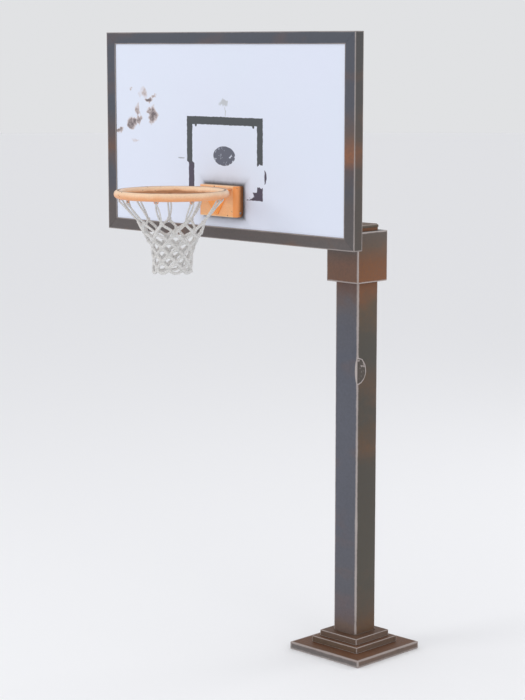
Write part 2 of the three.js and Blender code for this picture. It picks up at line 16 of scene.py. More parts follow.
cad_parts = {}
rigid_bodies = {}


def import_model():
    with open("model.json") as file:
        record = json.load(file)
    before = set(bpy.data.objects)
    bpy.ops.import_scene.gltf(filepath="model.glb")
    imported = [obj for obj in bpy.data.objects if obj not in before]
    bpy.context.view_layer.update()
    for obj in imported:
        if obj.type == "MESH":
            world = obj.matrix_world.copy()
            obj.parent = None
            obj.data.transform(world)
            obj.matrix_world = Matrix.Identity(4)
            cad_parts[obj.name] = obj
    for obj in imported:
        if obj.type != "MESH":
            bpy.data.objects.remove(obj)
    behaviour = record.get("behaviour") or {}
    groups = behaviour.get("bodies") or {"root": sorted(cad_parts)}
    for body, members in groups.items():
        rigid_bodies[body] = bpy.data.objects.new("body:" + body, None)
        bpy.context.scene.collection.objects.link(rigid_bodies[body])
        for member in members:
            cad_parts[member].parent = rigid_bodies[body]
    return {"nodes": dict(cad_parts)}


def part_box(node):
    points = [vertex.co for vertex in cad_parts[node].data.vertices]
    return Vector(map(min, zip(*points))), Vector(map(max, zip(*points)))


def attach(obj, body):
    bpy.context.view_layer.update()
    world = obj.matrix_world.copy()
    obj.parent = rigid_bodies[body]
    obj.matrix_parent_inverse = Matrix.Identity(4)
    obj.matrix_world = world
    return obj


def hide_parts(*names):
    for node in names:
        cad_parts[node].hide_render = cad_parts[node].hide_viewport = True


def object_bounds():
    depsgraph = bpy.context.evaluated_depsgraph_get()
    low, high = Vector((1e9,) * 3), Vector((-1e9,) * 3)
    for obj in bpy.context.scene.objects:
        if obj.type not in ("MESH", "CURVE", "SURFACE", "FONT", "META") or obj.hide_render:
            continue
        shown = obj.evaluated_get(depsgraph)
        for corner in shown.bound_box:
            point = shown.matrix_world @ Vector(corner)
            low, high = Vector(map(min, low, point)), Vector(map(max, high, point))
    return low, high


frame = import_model()
cad_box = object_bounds()

# %% [markdown]
# ## Camera
# The hoop is seen from its right front, from a little above the board's lower edge, through a long
# lens. A long lens keeps the post's sides almost parallel. The camera is turned by a heading and a
# pitch, which is easier to read than three Euler angles.

# %% Camera
HEADING = math.radians(44.55)
PITCH = math.radians(8.92)
EYE = Vector((6.4736, -7.2527, 3.0884))

camera = bpy.data.objects.new("camera", bpy.data.cameras.new("camera"))
bpy.context.collection.objects.link(camera)
camera.data.lens = 100
camera.data.sensor_width = 36
level = math.cos(PITCH)
ahead = Vector((-math.sin(HEADING) * level, math.cos(HEADING) * level, -math.sin(PITCH)))
camera.location = EYE
camera.rotation_mode = "QUATERNION"
camera.rotation_quaternion = ahead.to_track_quat("-Z", "Y")
bpy.context.scene.camera = camera
print("camera at", [round(c, 2) for c in EYE])

# %% [markdown]
# ## Colours and nodes
# Paint colours are given as sRGB hex codes, and Blender mixes light in linear values, so one
# function turns the first into the second. A second function adds any shader node, sets it, links it
# and gives back one of its outputs. A new material comes with that function already tied to its own
# tree, under the name add, so that a pattern reads as a short list of steps.

# %% Helpers for colour and nodes
def colour(code):
    """A linear RGBA colour from an sRGB code such as "5f6068"."""
    parts = [int(code[i:i + 2], 16) / 255 for i in (0, 2, 4)]
    linear = [p / 12.92 if p <= 0.04045 else ((p + 0.055) / 1.055) ** 2.4 for p in parts]
    return (*linear, 1.0)


def add_node(tree, kind, inputs=None, take=0, stops=(), **settings):
    """Add a shader node, set it, link its inputs and return one output, or all if take is "all"."""
    made = tree.nodes.new("ShaderNode" + kind)
    for name, value in settings.items():
        setattr(made, name, value)
    if stops:
        marks = made.color_ramp.elements
        marks.remove(marks[1])
        marks[0].position = stops[0][0]
        marks[0].color = colour(stops[0][1])
        for position, code in stops[1:]:
            marks.new(position).color = colour(code)
    for key, value in (inputs or {}).items():
        if isinstance(value, bpy.types.NodeSocket):
            tree.links.new(value, made.inputs[key])
        else:
            made.inputs[key].default_value = value
    return list(made.outputs) if take == "all" else made.outputs[take]


SUBTRACT, MULTIPLY, MULTIPLY_ADD, MAXIMUM, ADD, DIVIDE, ABSOLUTE = (
    {"operation": word} for word in
    ("SUBTRACT", "MULTIPLY", "MULTIPLY_ADD", "MAXIMUM", "ADD", "DIVIDE", "ABSOLUTE"))
SMOOTH = {"interpolation_type": "SMOOTHSTEP"}
COLOURS = {"data_type": "RGBA", "take": 2}


def new_material(name, **values):
    """A material with some sockets set; returns it, add_node tied to its tree, and its shader."""
    material = bpy.data.materials.new(name)
    material.use_nodes = True
    shader = material.node_tree.nodes["Principled BSDF"]
    for key, value in values.items():
        shader.inputs[key.replace("_", " ")].default_value = value
    return material, partial(add_node, material.node_tree), shader


def wire(shader, **layers):
    """Link each layer to the shader's socket of that name."""
    for key, layer in layers.items():
        shader.id_data.links.new(layer, shader.inputs[key.replace("_", " ")])


print("light grey in linear values:", [round(c, 3) for c in colour("c8c8c8")[:3]])

# %% [markdown]
# ## Floor and light
# A pale, matt floor and a pale sky give the even light of a studio. Three large area lamps are
# enough: a key from the front left and above, a weaker one from the right, and one behind, which
# keeps the back readable when the camera walks round. Large lamps give soft shadows. The sky is a
# little darker near the horizon, where it meets the floor, so that no line shows between the two.

# %% Floor and lamps
def lamp(name, place, target, size, watts):
    light = bpy.data.lights.new(name, "AREA")
    light.shape = "DISK"
    light.size = size
    light.energy = watts
    made = bpy.data.objects.new(name, light)
    bpy.context.collection.objects.link(made)
    made.location = place
    made.rotation_mode = "QUATERNION"
    made.rotation_quaternion = (Vector(target) - Vector(place)).to_track_quat("-Z", "Y")


middle = (cad_box[0] + cad_box[1]) / 2
lamp("key", (-3.0, -6.5, 5.5), middle, 3.5, 105)
lamp("fill", (7.0, -2.5, 3.5), middle, 4.0, 50)
lamp("back", (1.5, 6.5, 4.5), middle, 4.0, 70)

world = bpy.data.worlds.new("studio")
world.use_nodes = True
add = partial(add_node, world.node_tree)
upward = add("SeparateXYZ", {0: add("TexCoord", take="Generated")}, take=2)
upward = add("MapRange", {0: upward, 1: 0.08, 2: 0.5})
sky = add("Mix", {0: upward, 6: colour("eeeff1"), 7: colour("f6f7fa")}, **COLOURS)
backdrop = world.node_tree.nodes["Background"]
backdrop.inputs["Strength"].default_value = 0.88
wire(backdrop, Color=sky)
bpy.context.scene.world = world
bpy.context.scene.view_settings.view_transform = "Standard"

FLOOR_RADIUS = 60
floor_mesh = bpy.data.meshes.new("floor")
bm = bmesh.new()
bmesh.ops.create_circle(bm, cap_ends=True, segments=64, radius=FLOOR_RADIUS)
bm.to_mesh(floor_mesh)
bm.free()
floor = bpy.data.objects.new("floor", floor_mesh)
bpy.context.collection.objects.link(floor)
floor.location.z = -0.0005
pale, _, _ = new_material("pale_studio_floor", Base_Color=colour("f6f6f7"), Roughness=0.9)
floor_mesh.materials.append(pale)
print("three lamps and a floor", FLOOR_RADIUS * 2, "m across")

# %% [markdown]
# ## Where is the nearest edge?
# Enamel on steel wears first along its edges, where hands, ropes and ladders rub. A box has a simple
# rule for that: on its surface the smallest of the three distances to its sides is zero, and the
# second smallest is the distance to the nearest edge. It is the sum less the largest and smallest.

# %% Patterns on positions
def edge_distance(add, place, low, high):
    """Distance in metres from a point on a box's surface to the box's nearest edge."""
    centre = (Vector(low) + Vector(high)) / 2
    half = (Vector(high) - Vector(low)) / 2
    moved = add("VectorMath", {0: place, 1: centre}, **SUBTRACT)
    folded = add("VectorMath", {0: moved}, **ABSOLUTE)
    inside = add("VectorMath", {0: half, 1: folded}, **SUBTRACT)
    x, y, z = add("SeparateXYZ", {0: inside}, take="all")
    found = {}
    for kind in ("MINIMUM", "MAXIMUM", "ADD"):
        pair = add("Math", {0: x, 1: y}, operation=kind)
        found[kind] = add("Math", {0: pair, 1: z}, operation=kind)
    rest = add("Math", {0: found["ADD"], 1: found["MINIMUM"]}, **SUBTRACT)
    return add("Math", {0: rest, 1: found["MAXIMUM"]}, **SUBTRACT)


def speckle(add, place, size, detail=4.0, stretch=(1, 1, 1)):
    """Cloudy noise whose patches are about `size` metres across, from 0 to 1."""
    spread = [s / size for s in stretch]
    scaled = add("VectorMath", {0: place, 1: spread}, **MULTIPLY)
    return add("TexNoise", {"Vector": scaled, "Scale": 1.0, "Detail": detail})


print("pattern helpers ready")

# %% [markdown]
# ## Weathered enamel
# The post, the collar and the frame are mild steel under brushed blue-grey enamel. Years outside
# turned the low and sheltered parts to a thin brown rust film, and rubbing bared the edges to dull
# bright steel. The layers go in that order: a base colour that changes with height, darker clouds,
# rust bloom, then the bare edges on top. Bare metal is smoother and metallic, rust is matt and rough.

# %% Weathered enamel
BARE_STEEL = "b5aba7"
RUST = "7a5238"


def weathered_enamel(name, low, high, stops, side_stops=((0.0, "5a5245"),), side_share=0.75, wear=0.010,
                     rust=0.35, strength=0.9):
    """Enamel on a box; stops colour it from its foot to its top, side_stops its +X face, painted darker as
    shade.
    """
    material, add, shader = new_material(name)
    place = add("TexCoord", take="Object")
    up = add("SeparateXYZ", {0: place}, take=2)
    height = add("MapRange", {0: up, 1: low[2], 2: high[2]})
    clouds = speckle(add, place, 0.16, 3.0, (1, 1, 1.6))
    drift = add("Math", {0: clouds, 1: 0.5}, **SUBTRACT)
    height = add("Math", {0: drift, 1: 0.14, 2: height}, **MULTIPLY_ADD)
    base = add("ValToRGB", {0: height}, stops=stops)
    # painted shade: the face towards +X is mixed towards side_stops, darker and browner than the others, as
    # the side away from the light
    normal = add("TexCoord", take="Normal")
    shaded_side = add("SeparateXYZ", {0: normal})
    shaded_side = add("MapRange", {0: shaded_side, 1: 0.5, 2: 0.9}, **SMOOTH)
    shaded_side = add("Math", {0: shaded_side, 1: side_share}, **MULTIPLY)
    browner = add("ValToRGB", {0: height}, stops=side_stops)
    base = add("Mix", {0: shaded_side, 6: base, 7: browner}, **COLOURS)
    bloom = speckle(add, place, 0.22, 5.0, (1, 1, 1.8))
    bloom = add("MapRange", {0: bloom, 1: 0.52, 2: 0.70}, **SMOOTH)
    bloom = add("Math", {0: bloom, 1: rust}, **MULTIPLY)
    base = add("Mix", {0: bloom, 6: base, 7: colour(RUST)}, **COLOURS)
    fine = speckle(add, place, 0.012, 6.0)
    tone = add("MapRange", {0: fine, 1: 0.3, 2: 0.7, 3: 0.86, 4: 1.12})
    base = add("Mix", {0: 1.0, 6: base, 7: tone}, blend_type="MULTIPLY", **COLOURS)
    # bared edges: the band's inner limit wanders a little, and fades into the paint
    edge = edge_distance(add, place, low, high)
    wander = speckle(add, place, 0.12, 3.0)
    limit = add("MapRange", {0: wander, 1: 0.3, 2: 0.7, 3: wear * 0.7, 4: wear * 1.1})
    chip = add("Math", {0: fine, 1: 0.5}, **SUBTRACT)
    limit = add("Math", {0: chip, 1: wear * 0.5, 2: limit}, **MULTIPLY_ADD)
    over = add("Math", {0: limit, 1: edge}, **SUBTRACT)
    bared = add("MapRange", {0: over, 1: -wear * 0.5, 2: wear * 0.5, 4: strength}, **SMOOTH)
    return material, add, shader, place, base, bared, fine


def close_enamel(add, shader, base, bared, fine):
    """Joins the layers to the shader: colour, roughness, metal and a fine bump."""
    top = add("Mix", {0: bared, 6: base, 7: colour(BARE_STEEL)}, **COLOURS)
    rough = add("MapRange", {0: fine, 1: 0.3, 2: 0.7, 3: 0.5, 4: 0.72})
    shine = add("Math", {0: bared, 1: -0.16, 2: rough}, **MULTIPLY_ADD)
    metal = add("Math", {0: bared, 1: 0.35}, **MULTIPLY)
    film = add("Math", {0: bared, 1: -0.6, 2: fine}, **MULTIPLY_ADD)
    bump = add("Bump", {"Height": film, "Strength": 0.35, "Distance": 0.0006})
    wire(shader, Base_Color=top, Roughness=shine, Metallic=metal, Normal=bump)


def plain_enamel(name, *box_and_stops, **options):
    material, add, shader, _, base, bared, fine = weathered_enamel(name, *box_and_stops, **options)
    close_enamel(add, shader, base, bared, fine)
    return material


print("enamel recipe ready, bare edges in", BARE_STEEL)

# %% [markdown]
# ## Enamel on the post
# The post stays blue-grey along its front and turns brown for a hand's width at each end, where rain
# sits. One corner has a half-moon patch where a knock took the paint off down to the primer. Its
# outline is a bright lip. The patch is an ellipse in the distance from the corner, so it folds round
# the corner as the real one does.

# %% Post finish
post_low, post_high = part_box("post_tube")
PATCH_HEIGHT = 1.472
PATCH_REACH = (0.060, 0.016, 0.064)      # along the right face, along the front face, up and down

hidden_end = Vector((0, 0, 0.05))        # the tube's ends are covered, so their edges aren't rubbed
post_stops = [(0.02, "67544a"), (0.07, "62575a"), (0.12, "58585f"), (0.32, "545660"), (0.5, "565862"),
              (0.70, "545762"), (0.76, "5b5b63"), (0.80, "625d61"), (0.83, "6b5a56"), (0.86, "6e5045")]
# post_side colours the post's +X face: painted shade, darker and browner, with its own rust bands
post_side = [(0.02, "64472d"), (0.08, "554637"), (0.14, "4a4439"), (0.42, "474137"), (0.48, "56422d"),
             (0.54, "474137"), (0.61, "574433"), (0.66, "48433a"), (0.74, "4b4439"), (0.79, "5b4834"),
             (0.84, "74492a")]
post_enamel, add, shader, place, base, bared, fine = weathered_enamel(
    "brushed_enamel_on_steel_post", post_low - hidden_end, post_high + hidden_end, post_stops, post_side,
    side_share=0.95, wear=0.0085, rust=0.16)
x, y, z = add("SeparateXYZ", {0: place}, take="all")
back = add("Math", {0: y, 1: post_low.y}, **SUBTRACT)
back = add("Math", {0: back, 1: PATCH_REACH[0]}, **DIVIDE)
left = add("Math", {0: post_high.x, 1: x}, **SUBTRACT)
left = add("Math", {0: left, 1: PATCH_REACH[1]}, **DIVIDE)
away = add("Math", {0: back, 1: left}, **ADD)
rise = add("Math", {0: z, 1: PATCH_HEIGHT}, **SUBTRACT)
rise = add("Math", {0: rise, 1: PATCH_REACH[2]}, **DIVIDE)
away, rise = (add("Math", {0: part, 1: 2.0}, operation="POWER") for part in (away, rise))
reach = add("Math", {0: away, 1: rise}, **ADD)
ragged = speckle(add, place, 0.02, 2.0)
reach = add("Math", {0: ragged, 1: 0.35, 2: reach}, **MULTIPLY_ADD)
patch = add("MapRange", {0: reach, 1: 1.20, 2: 1.10}, **SMOOTH)
lip = add("MapRange", {0: reach, 1: 1.36, 2: 1.26}, **SMOOTH)
lip = add("Math", {0: lip, 1: patch}, **SUBTRACT, use_clamp=True)
base = add("Mix", {0: patch, 6: base, 7: colour("4d453f")}, **COLOURS)
scraped = add("MapRange", {0: left, 1: 0.12, 2: 0.3}, **SMOOTH)
scraped = add("Math", {0: scraped, 1: patch}, **MULTIPLY)
spots = add("MapRange", {0: ragged, 1: 0.56, 2: 0.66, 4: 0.7}, **SMOOTH)
spots = add("Math", {0: spots, 1: patch}, **MULTIPLY)
for bright in (scraped, spots):
    lip = add("Math", {0: lip, 1: bright}, **MAXIMUM)
keep = add("Math", {0: 1.0, 1: patch}, **SUBTRACT)
bared = add("Math", {0: bared, 1: keep}, **MULTIPLY)
bared = add("Math", {0: bared, 1: lip}, **MAXIMUM)
close_enamel(add, shader, base, bared, fine)
print("post enamel with a patch at", PATCH_HEIGHT, "m")

# %% [markdown]
# ## Enamel on the collar, the cap and the base
# The collar is grey above and rusty below its middle. The base and its two steps sit in the wet, so
# they are rust-brown on top, grey on their rims, and their edges are bared widest of all.

# %% Collar, cap and base finishes
collar_low, collar_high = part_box("collar_sleeve")
collar_stops = [(0.0, "765645"), (0.35, "78594a"), (0.55, "6d5a50"), (0.7, "64605f"), (1.0, "5b5f62")]
collar_enamel = plain_enamel("brushed_enamel_on_steel_collar", collar_low, collar_high, collar_stops,
                             [(0.0, "7c4c28"), (0.4, "744827"), (0.7, "5e4a3a"), (1.0, "574a42")],
                             side_share=0.9, wear=0.0065, rust=0.3)
cap_low, cap_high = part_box("post_cap")
cap_enamel = plain_enamel("brushed_enamel_on_steel_cap", cap_low, cap_high,
                          [(0.0, "5a4e46"), (0.6, "5f4c3f"), (1.0, "66503f")], wear=0.005,
                          strength=0.8)

plate_stops = {
    "base_plate": [(0.0, "6b6664"), (0.75, "675e5b"), (0.93, "603d24"), (1.0, "603d24")],
    "lower_step_plate": [(0.0, "64503f"), (0.75, "64503f"), (0.93, "63432e"), (1.0, "63432e")],
    "upper_step_plate": [(0.0, "604a3b"), (0.75, "604a3b"), (0.93, "5c412f"), (1.0, "5c412f")],
}
base_paints = {}
edge_band = {"base_plate": 0.0085, "lower_step_plate": 0.0035, "upper_step_plate": 0.0035}
for name, rubbed_width in edge_band.items():
    low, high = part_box(name)
    base_paints[name] = plain_enamel("rusted_enamel_on_" + name, low, high,
                                     plate_stops[name], [(0.0, "6d5c50"), (1.0, "664c3a")], side_share=0.7,
                                     wear=rubbed_width, rust=0.3, strength=0.75)
print("finishes for the collar, the cap and", len(base_paints), "plates")

# %% [markdown]
# ## Enamel on the board's frame
# The four rails are bent from the same enamelled steel. Rust starts on the bottom rail, where water
# stands, and climbs the lower parts of the two uprights; the top rail is still clean. The rails end
# at the panel, so the edge rule gets the rail's own front face and not the lip behind the panel.

# %% Frame finish
board_low = Vector(map(min, *(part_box(n)[0] for n in ("frame_left", "frame_right", "frame_bottom"))))
board_high = Vector(map(max, *(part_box(n)[1] for n in ("frame_left", "frame_right", "frame_top"))))
panel_low, panel_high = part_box("backboard_panel")
rail_boxes = {
    "frame_left": (board_low, (panel_low.x, board_high.y, board_high.z)),
    "frame_right": ((panel_high.x, board_low.y, board_low.z), board_high),
    "frame_bottom": (board_low, (board_high.x, board_high.y, panel_low.z)),
    "frame_top": ((board_low.x, board_low.y, panel_high.z), board_high),
}
upright_stops = [(0.0, "57504e"), (0.12, "564e4c"), (0.22, "4c4a52"), (0.33, "4b4d56"), (0.42, "664c40"),
                 (0.5, "54494a"), (0.6, "474b54"), (1.0, "484c57")]
rail_stops = {
    "frame_left": upright_stops,
    "frame_right": [(0.0, "524d4c"), (0.2, "504b4c"), (0.28, "4a4a50"), (0.36, "54494a"), (0.43, "845438"),
                    (0.53, "5f4e47"), (0.66, "4a4c55"), (1.0, "484c56")],
    "frame_bottom": [(0.0, "5a5453"), (1.0, "5a5250")],
    "frame_top": [(0.0, "474b55"), (1.0, "494d56")],
}
# rail_sides colours the right rail's +X face: painted shade, with its own rust band
rail_sides = {"frame_right": [(0.0, "4e463f"), (0.36, "4c453f"), (0.43, "6e4a34"), (0.5, "50463e"),
                              (0.7, "484440"), (1.0, "474441")]}
frame_paints = {}
for name, (low, high) in rail_boxes.items():
    bloom = 0.45 if name == "frame_bottom" else 0.18
    frame_paints[name] = plain_enamel("brushed_enamel_on_" + name, low, high, rail_stops[name],
                                      rail_sides.get(name, [(0.0, "4a443e")]), side_share=0.85,
                                      wear=0.0042, rust=bloom, strength=0.6)
print("frame rails:", ", ".join(frame_paints))

# %% [markdown]
# ## The painted panel
# The panel is a flat sheet with white gloss paint, slightly lilac in daylight. A dark target
# rectangle is painted on it, and it has suffered: its left bar is chipped and slipped, a piece of
# the right bar has flaked off, and the rest of the foot is worn away beside the bracket. Rust blisters
# bloom at the left. Each mark is a simple shape in millimetres on the panel, softened or broken by
# noise, so the material is a stack of such masks.

# %% Shapes for the panel's paint
def oval(add, across, up, centre, half, soft=0.06):
    """1 inside an ellipse on the panel, 0 outside."""
    parts = []
    for place, middle, size in zip((across, up), centre, half):
        part = add("Math", {0: place, 1: middle}, **SUBTRACT)
        parts.append(add("Math", {0: part, 1: size}, **DIVIDE))
    x, z = parts
    xx = add("Math", {0: x, 1: x}, **MULTIPLY)
    reach = add("Math", {0: z, 1: z, 2: xx}, **MULTIPLY_ADD)
    return add("MapRange", {0: reach, 1: 1 + soft, 2: 1 - soft}, **SMOOTH)


def oblong(add, across, up, centre, half, soft=0.0012):
    """1 inside an upright rectangle on the panel, 0 outside."""
    parts = []
    for place, middle, size in zip((across, up), centre, half):
        part = add("Math", {0: place, 1: middle}, **SUBTRACT)
        part = add("Math", {0: part}, **ABSOLUTE)
        parts.append(add("Math", {0: part, 1: size}, **SUBTRACT))
    away = add("Math", {0: parts[0], 1: parts[1]}, **MAXIMUM)
    return add("MapRange", {0: away, 1: soft, 2: -soft}, **SMOOTH)


print("shapes ready")

# %% Target rectangle
TARGET = Vector((0.502, 0.376))          # outside width and height
TARGET_FOOT = 0.134                      # above the panel's lower edge
BAR = 0.037
target_middle = (0.0, panel_low.z + TARGET_FOOT + TARGET.y / 2)
target_half = TARGET / 2
gap_middle = (target_half.x - 0.012, panel_low.z + 0.243)

panel_paint, add, shader = new_material("white_gloss_paint_on_sheet", Roughness=0.34)
place = add("TexCoord", take="Object")
chips = speckle(add, place, 0.018, 4.0)
shake = add("MapRange", {0: chips, 1: 0.2, 2: 0.8, 3: -0.0020, 4: 0.0020})
x, y, z = add("SeparateXYZ", {0: place}, take="all")
across = add("Math", {0: x, 1: shake}, **ADD)
up = add("Math", {0: z, 1: shake}, **SUBTRACT)

# the lower part of the left bar has slipped towards the middle
slip_top = target_middle[1] - 0.027
slipped = add("MapRange", {0: up, 1: slip_top + 0.003, 2: slip_top - 0.003})
left_side = add("MapRange", {0: across, 1: -0.12, 2: -0.125})
slipped = add("Math", {0: slipped, 1: left_side}, **MULTIPLY)
slid = add("Math", {0: slipped, 1: -0.012, 2: across}, **MULTIPLY_ADD)
outside = oblong(add, slid, up, target_middle, target_half)
window = oblong(add, slid, up, target_middle, target_half - Vector((BAR, BAR)))
bars = add("Math", {0: outside, 1: window}, use_clamp=True, **SUBTRACT)
print("target", round(TARGET.x * 1000), "x", round(TARGET.y * 1000), "mm, bars", round(BAR * 1000), "mm")

# %% Damage to the target
torn = speckle(add, place, 0.05, 3.0)
torn = add("MapRange", {0: torn, 1: 0.3, 2: 0.7, 3: -0.016, 4: 0.016})
loose_x = add("Math", {0: across, 1: torn}, **ADD)
loose_z = add("Math", {0: up, 1: torn}, **SUBTRACT)
flaked = oval(add, loose_x, loose_z, gap_middle, (0.050, 0.054), 0.03)
worn_foot = oval(add, loose_x, loose_z, (0.075, panel_low.z + 0.165), (0.108, 0.046), 0.05)
notch = oval(add, loose_x, up, (-0.201, panel_low.z + 0.246), (0.010, 0.007), 0.1)
chipped = add("MapRange", {0: chips, 1: 0.69, 2: 0.71})
chipped = add("Math", {0: chipped, 1: slipped}, **MULTIPLY)
for lost in (flaked, worn_foot, notch, chipped):
    bars = add("Math", {0: bars, 1: lost}, use_clamp=True, **SUBTRACT)
curl = oval(add, across, up, (target_half.x + 0.005, gap_middle[1]), (0.020, 0.034), 0.06)
past = add("MapRange", {0: across, 1: target_half.x + 0.010, 2: target_half.x + 0.012})
curl = add("Math", {0: curl, 1: past}, **MULTIPLY)
bars = add("Math", {0: bars, 1: curl}, **MAXIMUM)
for side in (-1, 1):
    drip_foot = target_middle[1] + target_half.y - BAR
    drip = oval(add, across, up, (side * 0.190, drip_foot), (0.008, 0.011), 0.2)
    bars = add("Math", {0: bars, 1: drip}, **MAXIMUM)
print("flaked at", [round(c, 3) for c in gap_middle])

# %% [markdown]
# ## A generic badge, stains, grime and painted shade
# The badge in the target's window is one plain oval of worn dark paint. The rust blisters are
# a handful of soft ovals that noise breaks into dark cores and brown haloes. Round the bracket the
# panel is darkened by grime together with painted shade, widely and softly, and darkest at the seam.

# %% Badge
badge_middle = (0.0, panel_low.z + 0.330)
badge = oval(add, across, up, badge_middle, (0.072, 0.045), 0.03)
worn = add("MapRange", {0: chips, 1: 0.60, 2: 0.66, 4: 0.8})
badge = add("Math", {0: badge, 1: worn}, use_clamp=True, **SUBTRACT)
print("badge 144 x 90 mm")

# %% Stains
corner = Vector((panel_low.x, panel_high.z))
blisters = [                             # right of and below the panel's top left corner; half sizes
    (0.205, 0.228, 0.034, 0.026, 0.50), (0.226, 0.272, 0.026, 0.017, 1.00),
    (0.262, 0.255, 0.016, 0.012, 0.60), (0.150, 0.320, 0.015, 0.030, 0.75),
    (0.264, 0.336, 0.034, 0.034, 1.00), (0.236, 0.318, 0.017, 0.012, 0.80),
    (0.116, 0.374, 0.030, 0.030, 1.00), (0.160, 0.364, 0.017, 0.024, 0.85),
    (0.022, 0.413, 0.024, 0.015, 0.90), (0.138, 0.456, 0.036, 0.009, 0.35),
    (0.115, 0.204, 0.009, 0.008, 0.60),
]
spread = speckle(add, place, 0.045, 2.0)
spread = add("MapRange", {0: spread, 1: 0.3, 2: 0.7, 3: -0.016, 4: 0.016})
stain_x = add("Math", {0: x, 1: spread}, **ADD)
stain_z = add("Math", {0: z, 1: spread}, **ADD)
stain = 0.0
for right, down, half_x, half_z, strength in blisters:
    centre = (corner.x + right, corner.y - down)
    spot = oval(add, stain_x, stain_z, centre, (half_x * 0.9, half_z * 0.9), 1.0)
    spot = add("Math", {0: spot, 1: strength}, **MULTIPLY)
    stain = add("Math", {0: spot, 1: stain}, **MAXIMUM)
pits = speckle(add, place, 0.016, 3.0)
broken = add("MapRange", {0: pits, 1: 0.34, 2: 0.62, 3: 0.55, 4: 1.0})
stain = add("Math", {0: stain, 1: broken}, **MULTIPLY)
halo = add("MapRange", {0: stain, 1: 0.0, 2: 0.55, 4: 0.8}, **SMOOTH)
core = add("MapRange", {0: stain, 1: 0.25, 2: 1.0, 4: 0.85}, **SMOOTH)
print(len(blisters), "rust blisters")

# %% Scuffs, grime and painted shade
scuff = oval(add, stain_x, z, (-0.292, panel_low.z + 0.311), (0.026, 0.003), 0.5)
target_top = target_middle[1] + target_half.y
faint_ring = oval(add, stain_x, stain_z, (0.002, target_top + 0.066), (0.024, 0.020), 0.6)
faint_drip = oval(add, stain_x, z, (0.0, target_top + 0.024), (0.004, 0.024), 0.6)
faint = add("Math", {0: faint_ring, 1: faint_drip}, **MAXIMUM)
bracket_low, bracket_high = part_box("rim_bracket")
bracket_middle = ((bracket_low.x + bracket_high.x) / 2, (bracket_low.z + bracket_high.z) / 2)
bracket_half = Vector((bracket_high.x - bracket_low.x, bracket_high.z - bracket_low.z)) / 2
# a wide soft band round the bracket, darkened as grime and painted shade
grime_and_shade = oblong(add, across, up, bracket_middle, bracket_half + Vector((0.012, 0.012)), 0.046)
smudge = speckle(add, place, 0.07, 4.0)
smudge = add("MapRange", {0: smudge, 1: 0.3, 2: 0.7, 3: 0.45, 4: 1.0})
grime_and_shade = add("Math", {0: grime_and_shade, 1: smudge}, **MULTIPLY)
# a narrow dark band at the bracket's edge: painted contact shade with grime
seam_shade_and_grime = oblong(add, across, up, bracket_middle, bracket_half + Vector((0.010, 0.010)), 0.011)
print("grime round a bracket", round(bracket_half.x * 2000), "mm wide")

# %% Stack the panel's layers
haze = speckle(add, place, 0.4, 3.0)
base = add("Mix", {0: haze, 6: colour("dfe3f3"), 7: colour("dde5f2")}, **COLOURS)
# the first two layers darken the panel round the bracket: grime with painted shade
for mask, share, code in ((grime_and_shade, 0.72, "5c5763"), (seam_shade_and_grime, 0.85, "3d352f"),
                          (faint, 0.45, "8c8a78"), (scuff, 0.6, "6b665f")):
    mask = add("Math", {0: mask, 1: share}, **MULTIPLY)
    base = add("Mix", {0: mask, 6: base, 7: colour(code)}, **COLOURS)
bar_tint = add("MapRange", {0: z, 1: slip_top - 0.01, 2: slip_top + 0.01})
bar_colour = add("Mix", {0: bar_tint, 6: colour("4e4757"), 7: colour("484c4f")}, **COLOURS)
for mask, tint in ((bars, bar_colour), (badge, colour("5f6270")), (halo, colour("c6b3ac")),
                   (core, colour("4d4246"))):
    base = add("Mix", {0: mask, 6: base, 7: tint}, **COLOURS)
# the panel's back was only primed: grey, streaked by rain, with rust creeping in from its edges
behind = add("MapRange", {0: y, 1: panel_low.y + 0.0010, 2: panel_low.y + 0.0014})
streaks = speckle(add, place, 0.05, 4.0, (1, 1, 0.12))
primer = add("Mix", {0: streaks, 6: colour("9a9fa8"), 7: colour("c3c7cd")}, **COLOURS)
rim = edge_distance(add, place, panel_low, panel_high)
rim = add("Math", {0: spread, 1: 4.0, 2: rim}, **MULTIPLY_ADD)
creep = add("MapRange", {0: rim, 1: 0.06, 2: -0.03}, **SMOOTH)
primer = add("Mix", {0: creep, 6: primer, 7: colour("83634f")}, **COLOURS)
base = add("Mix", {0: behind, 6: base, 7: primer}, **COLOURS)
dull = halo
for mask in (bars, behind):
    dull = add("Math", {0: dull, 1: mask}, **MAXIMUM)
rough = add("MapRange", {0: dull, 3: 0.34, 4: 0.62})
raised = add("Math", {0: bars, 1: 0.5}, **MULTIPLY)
raised = add("Math", {0: core, 1: pits, 2: raised}, **MULTIPLY_ADD)
orange_peel = speckle(add, place, 0.006, 2.0)
raised = add("Math", {0: orange_peel, 1: 0.12, 2: raised}, **MULTIPLY_ADD)
bump = add("Bump", {"Height": raised, "Strength": 0.4, "Distance": 0.0008})
wire(shader, Base_Color=base, Roughness=rough, Normal=bump)
print("panel material with", len(shader.id_data.nodes), "nodes")
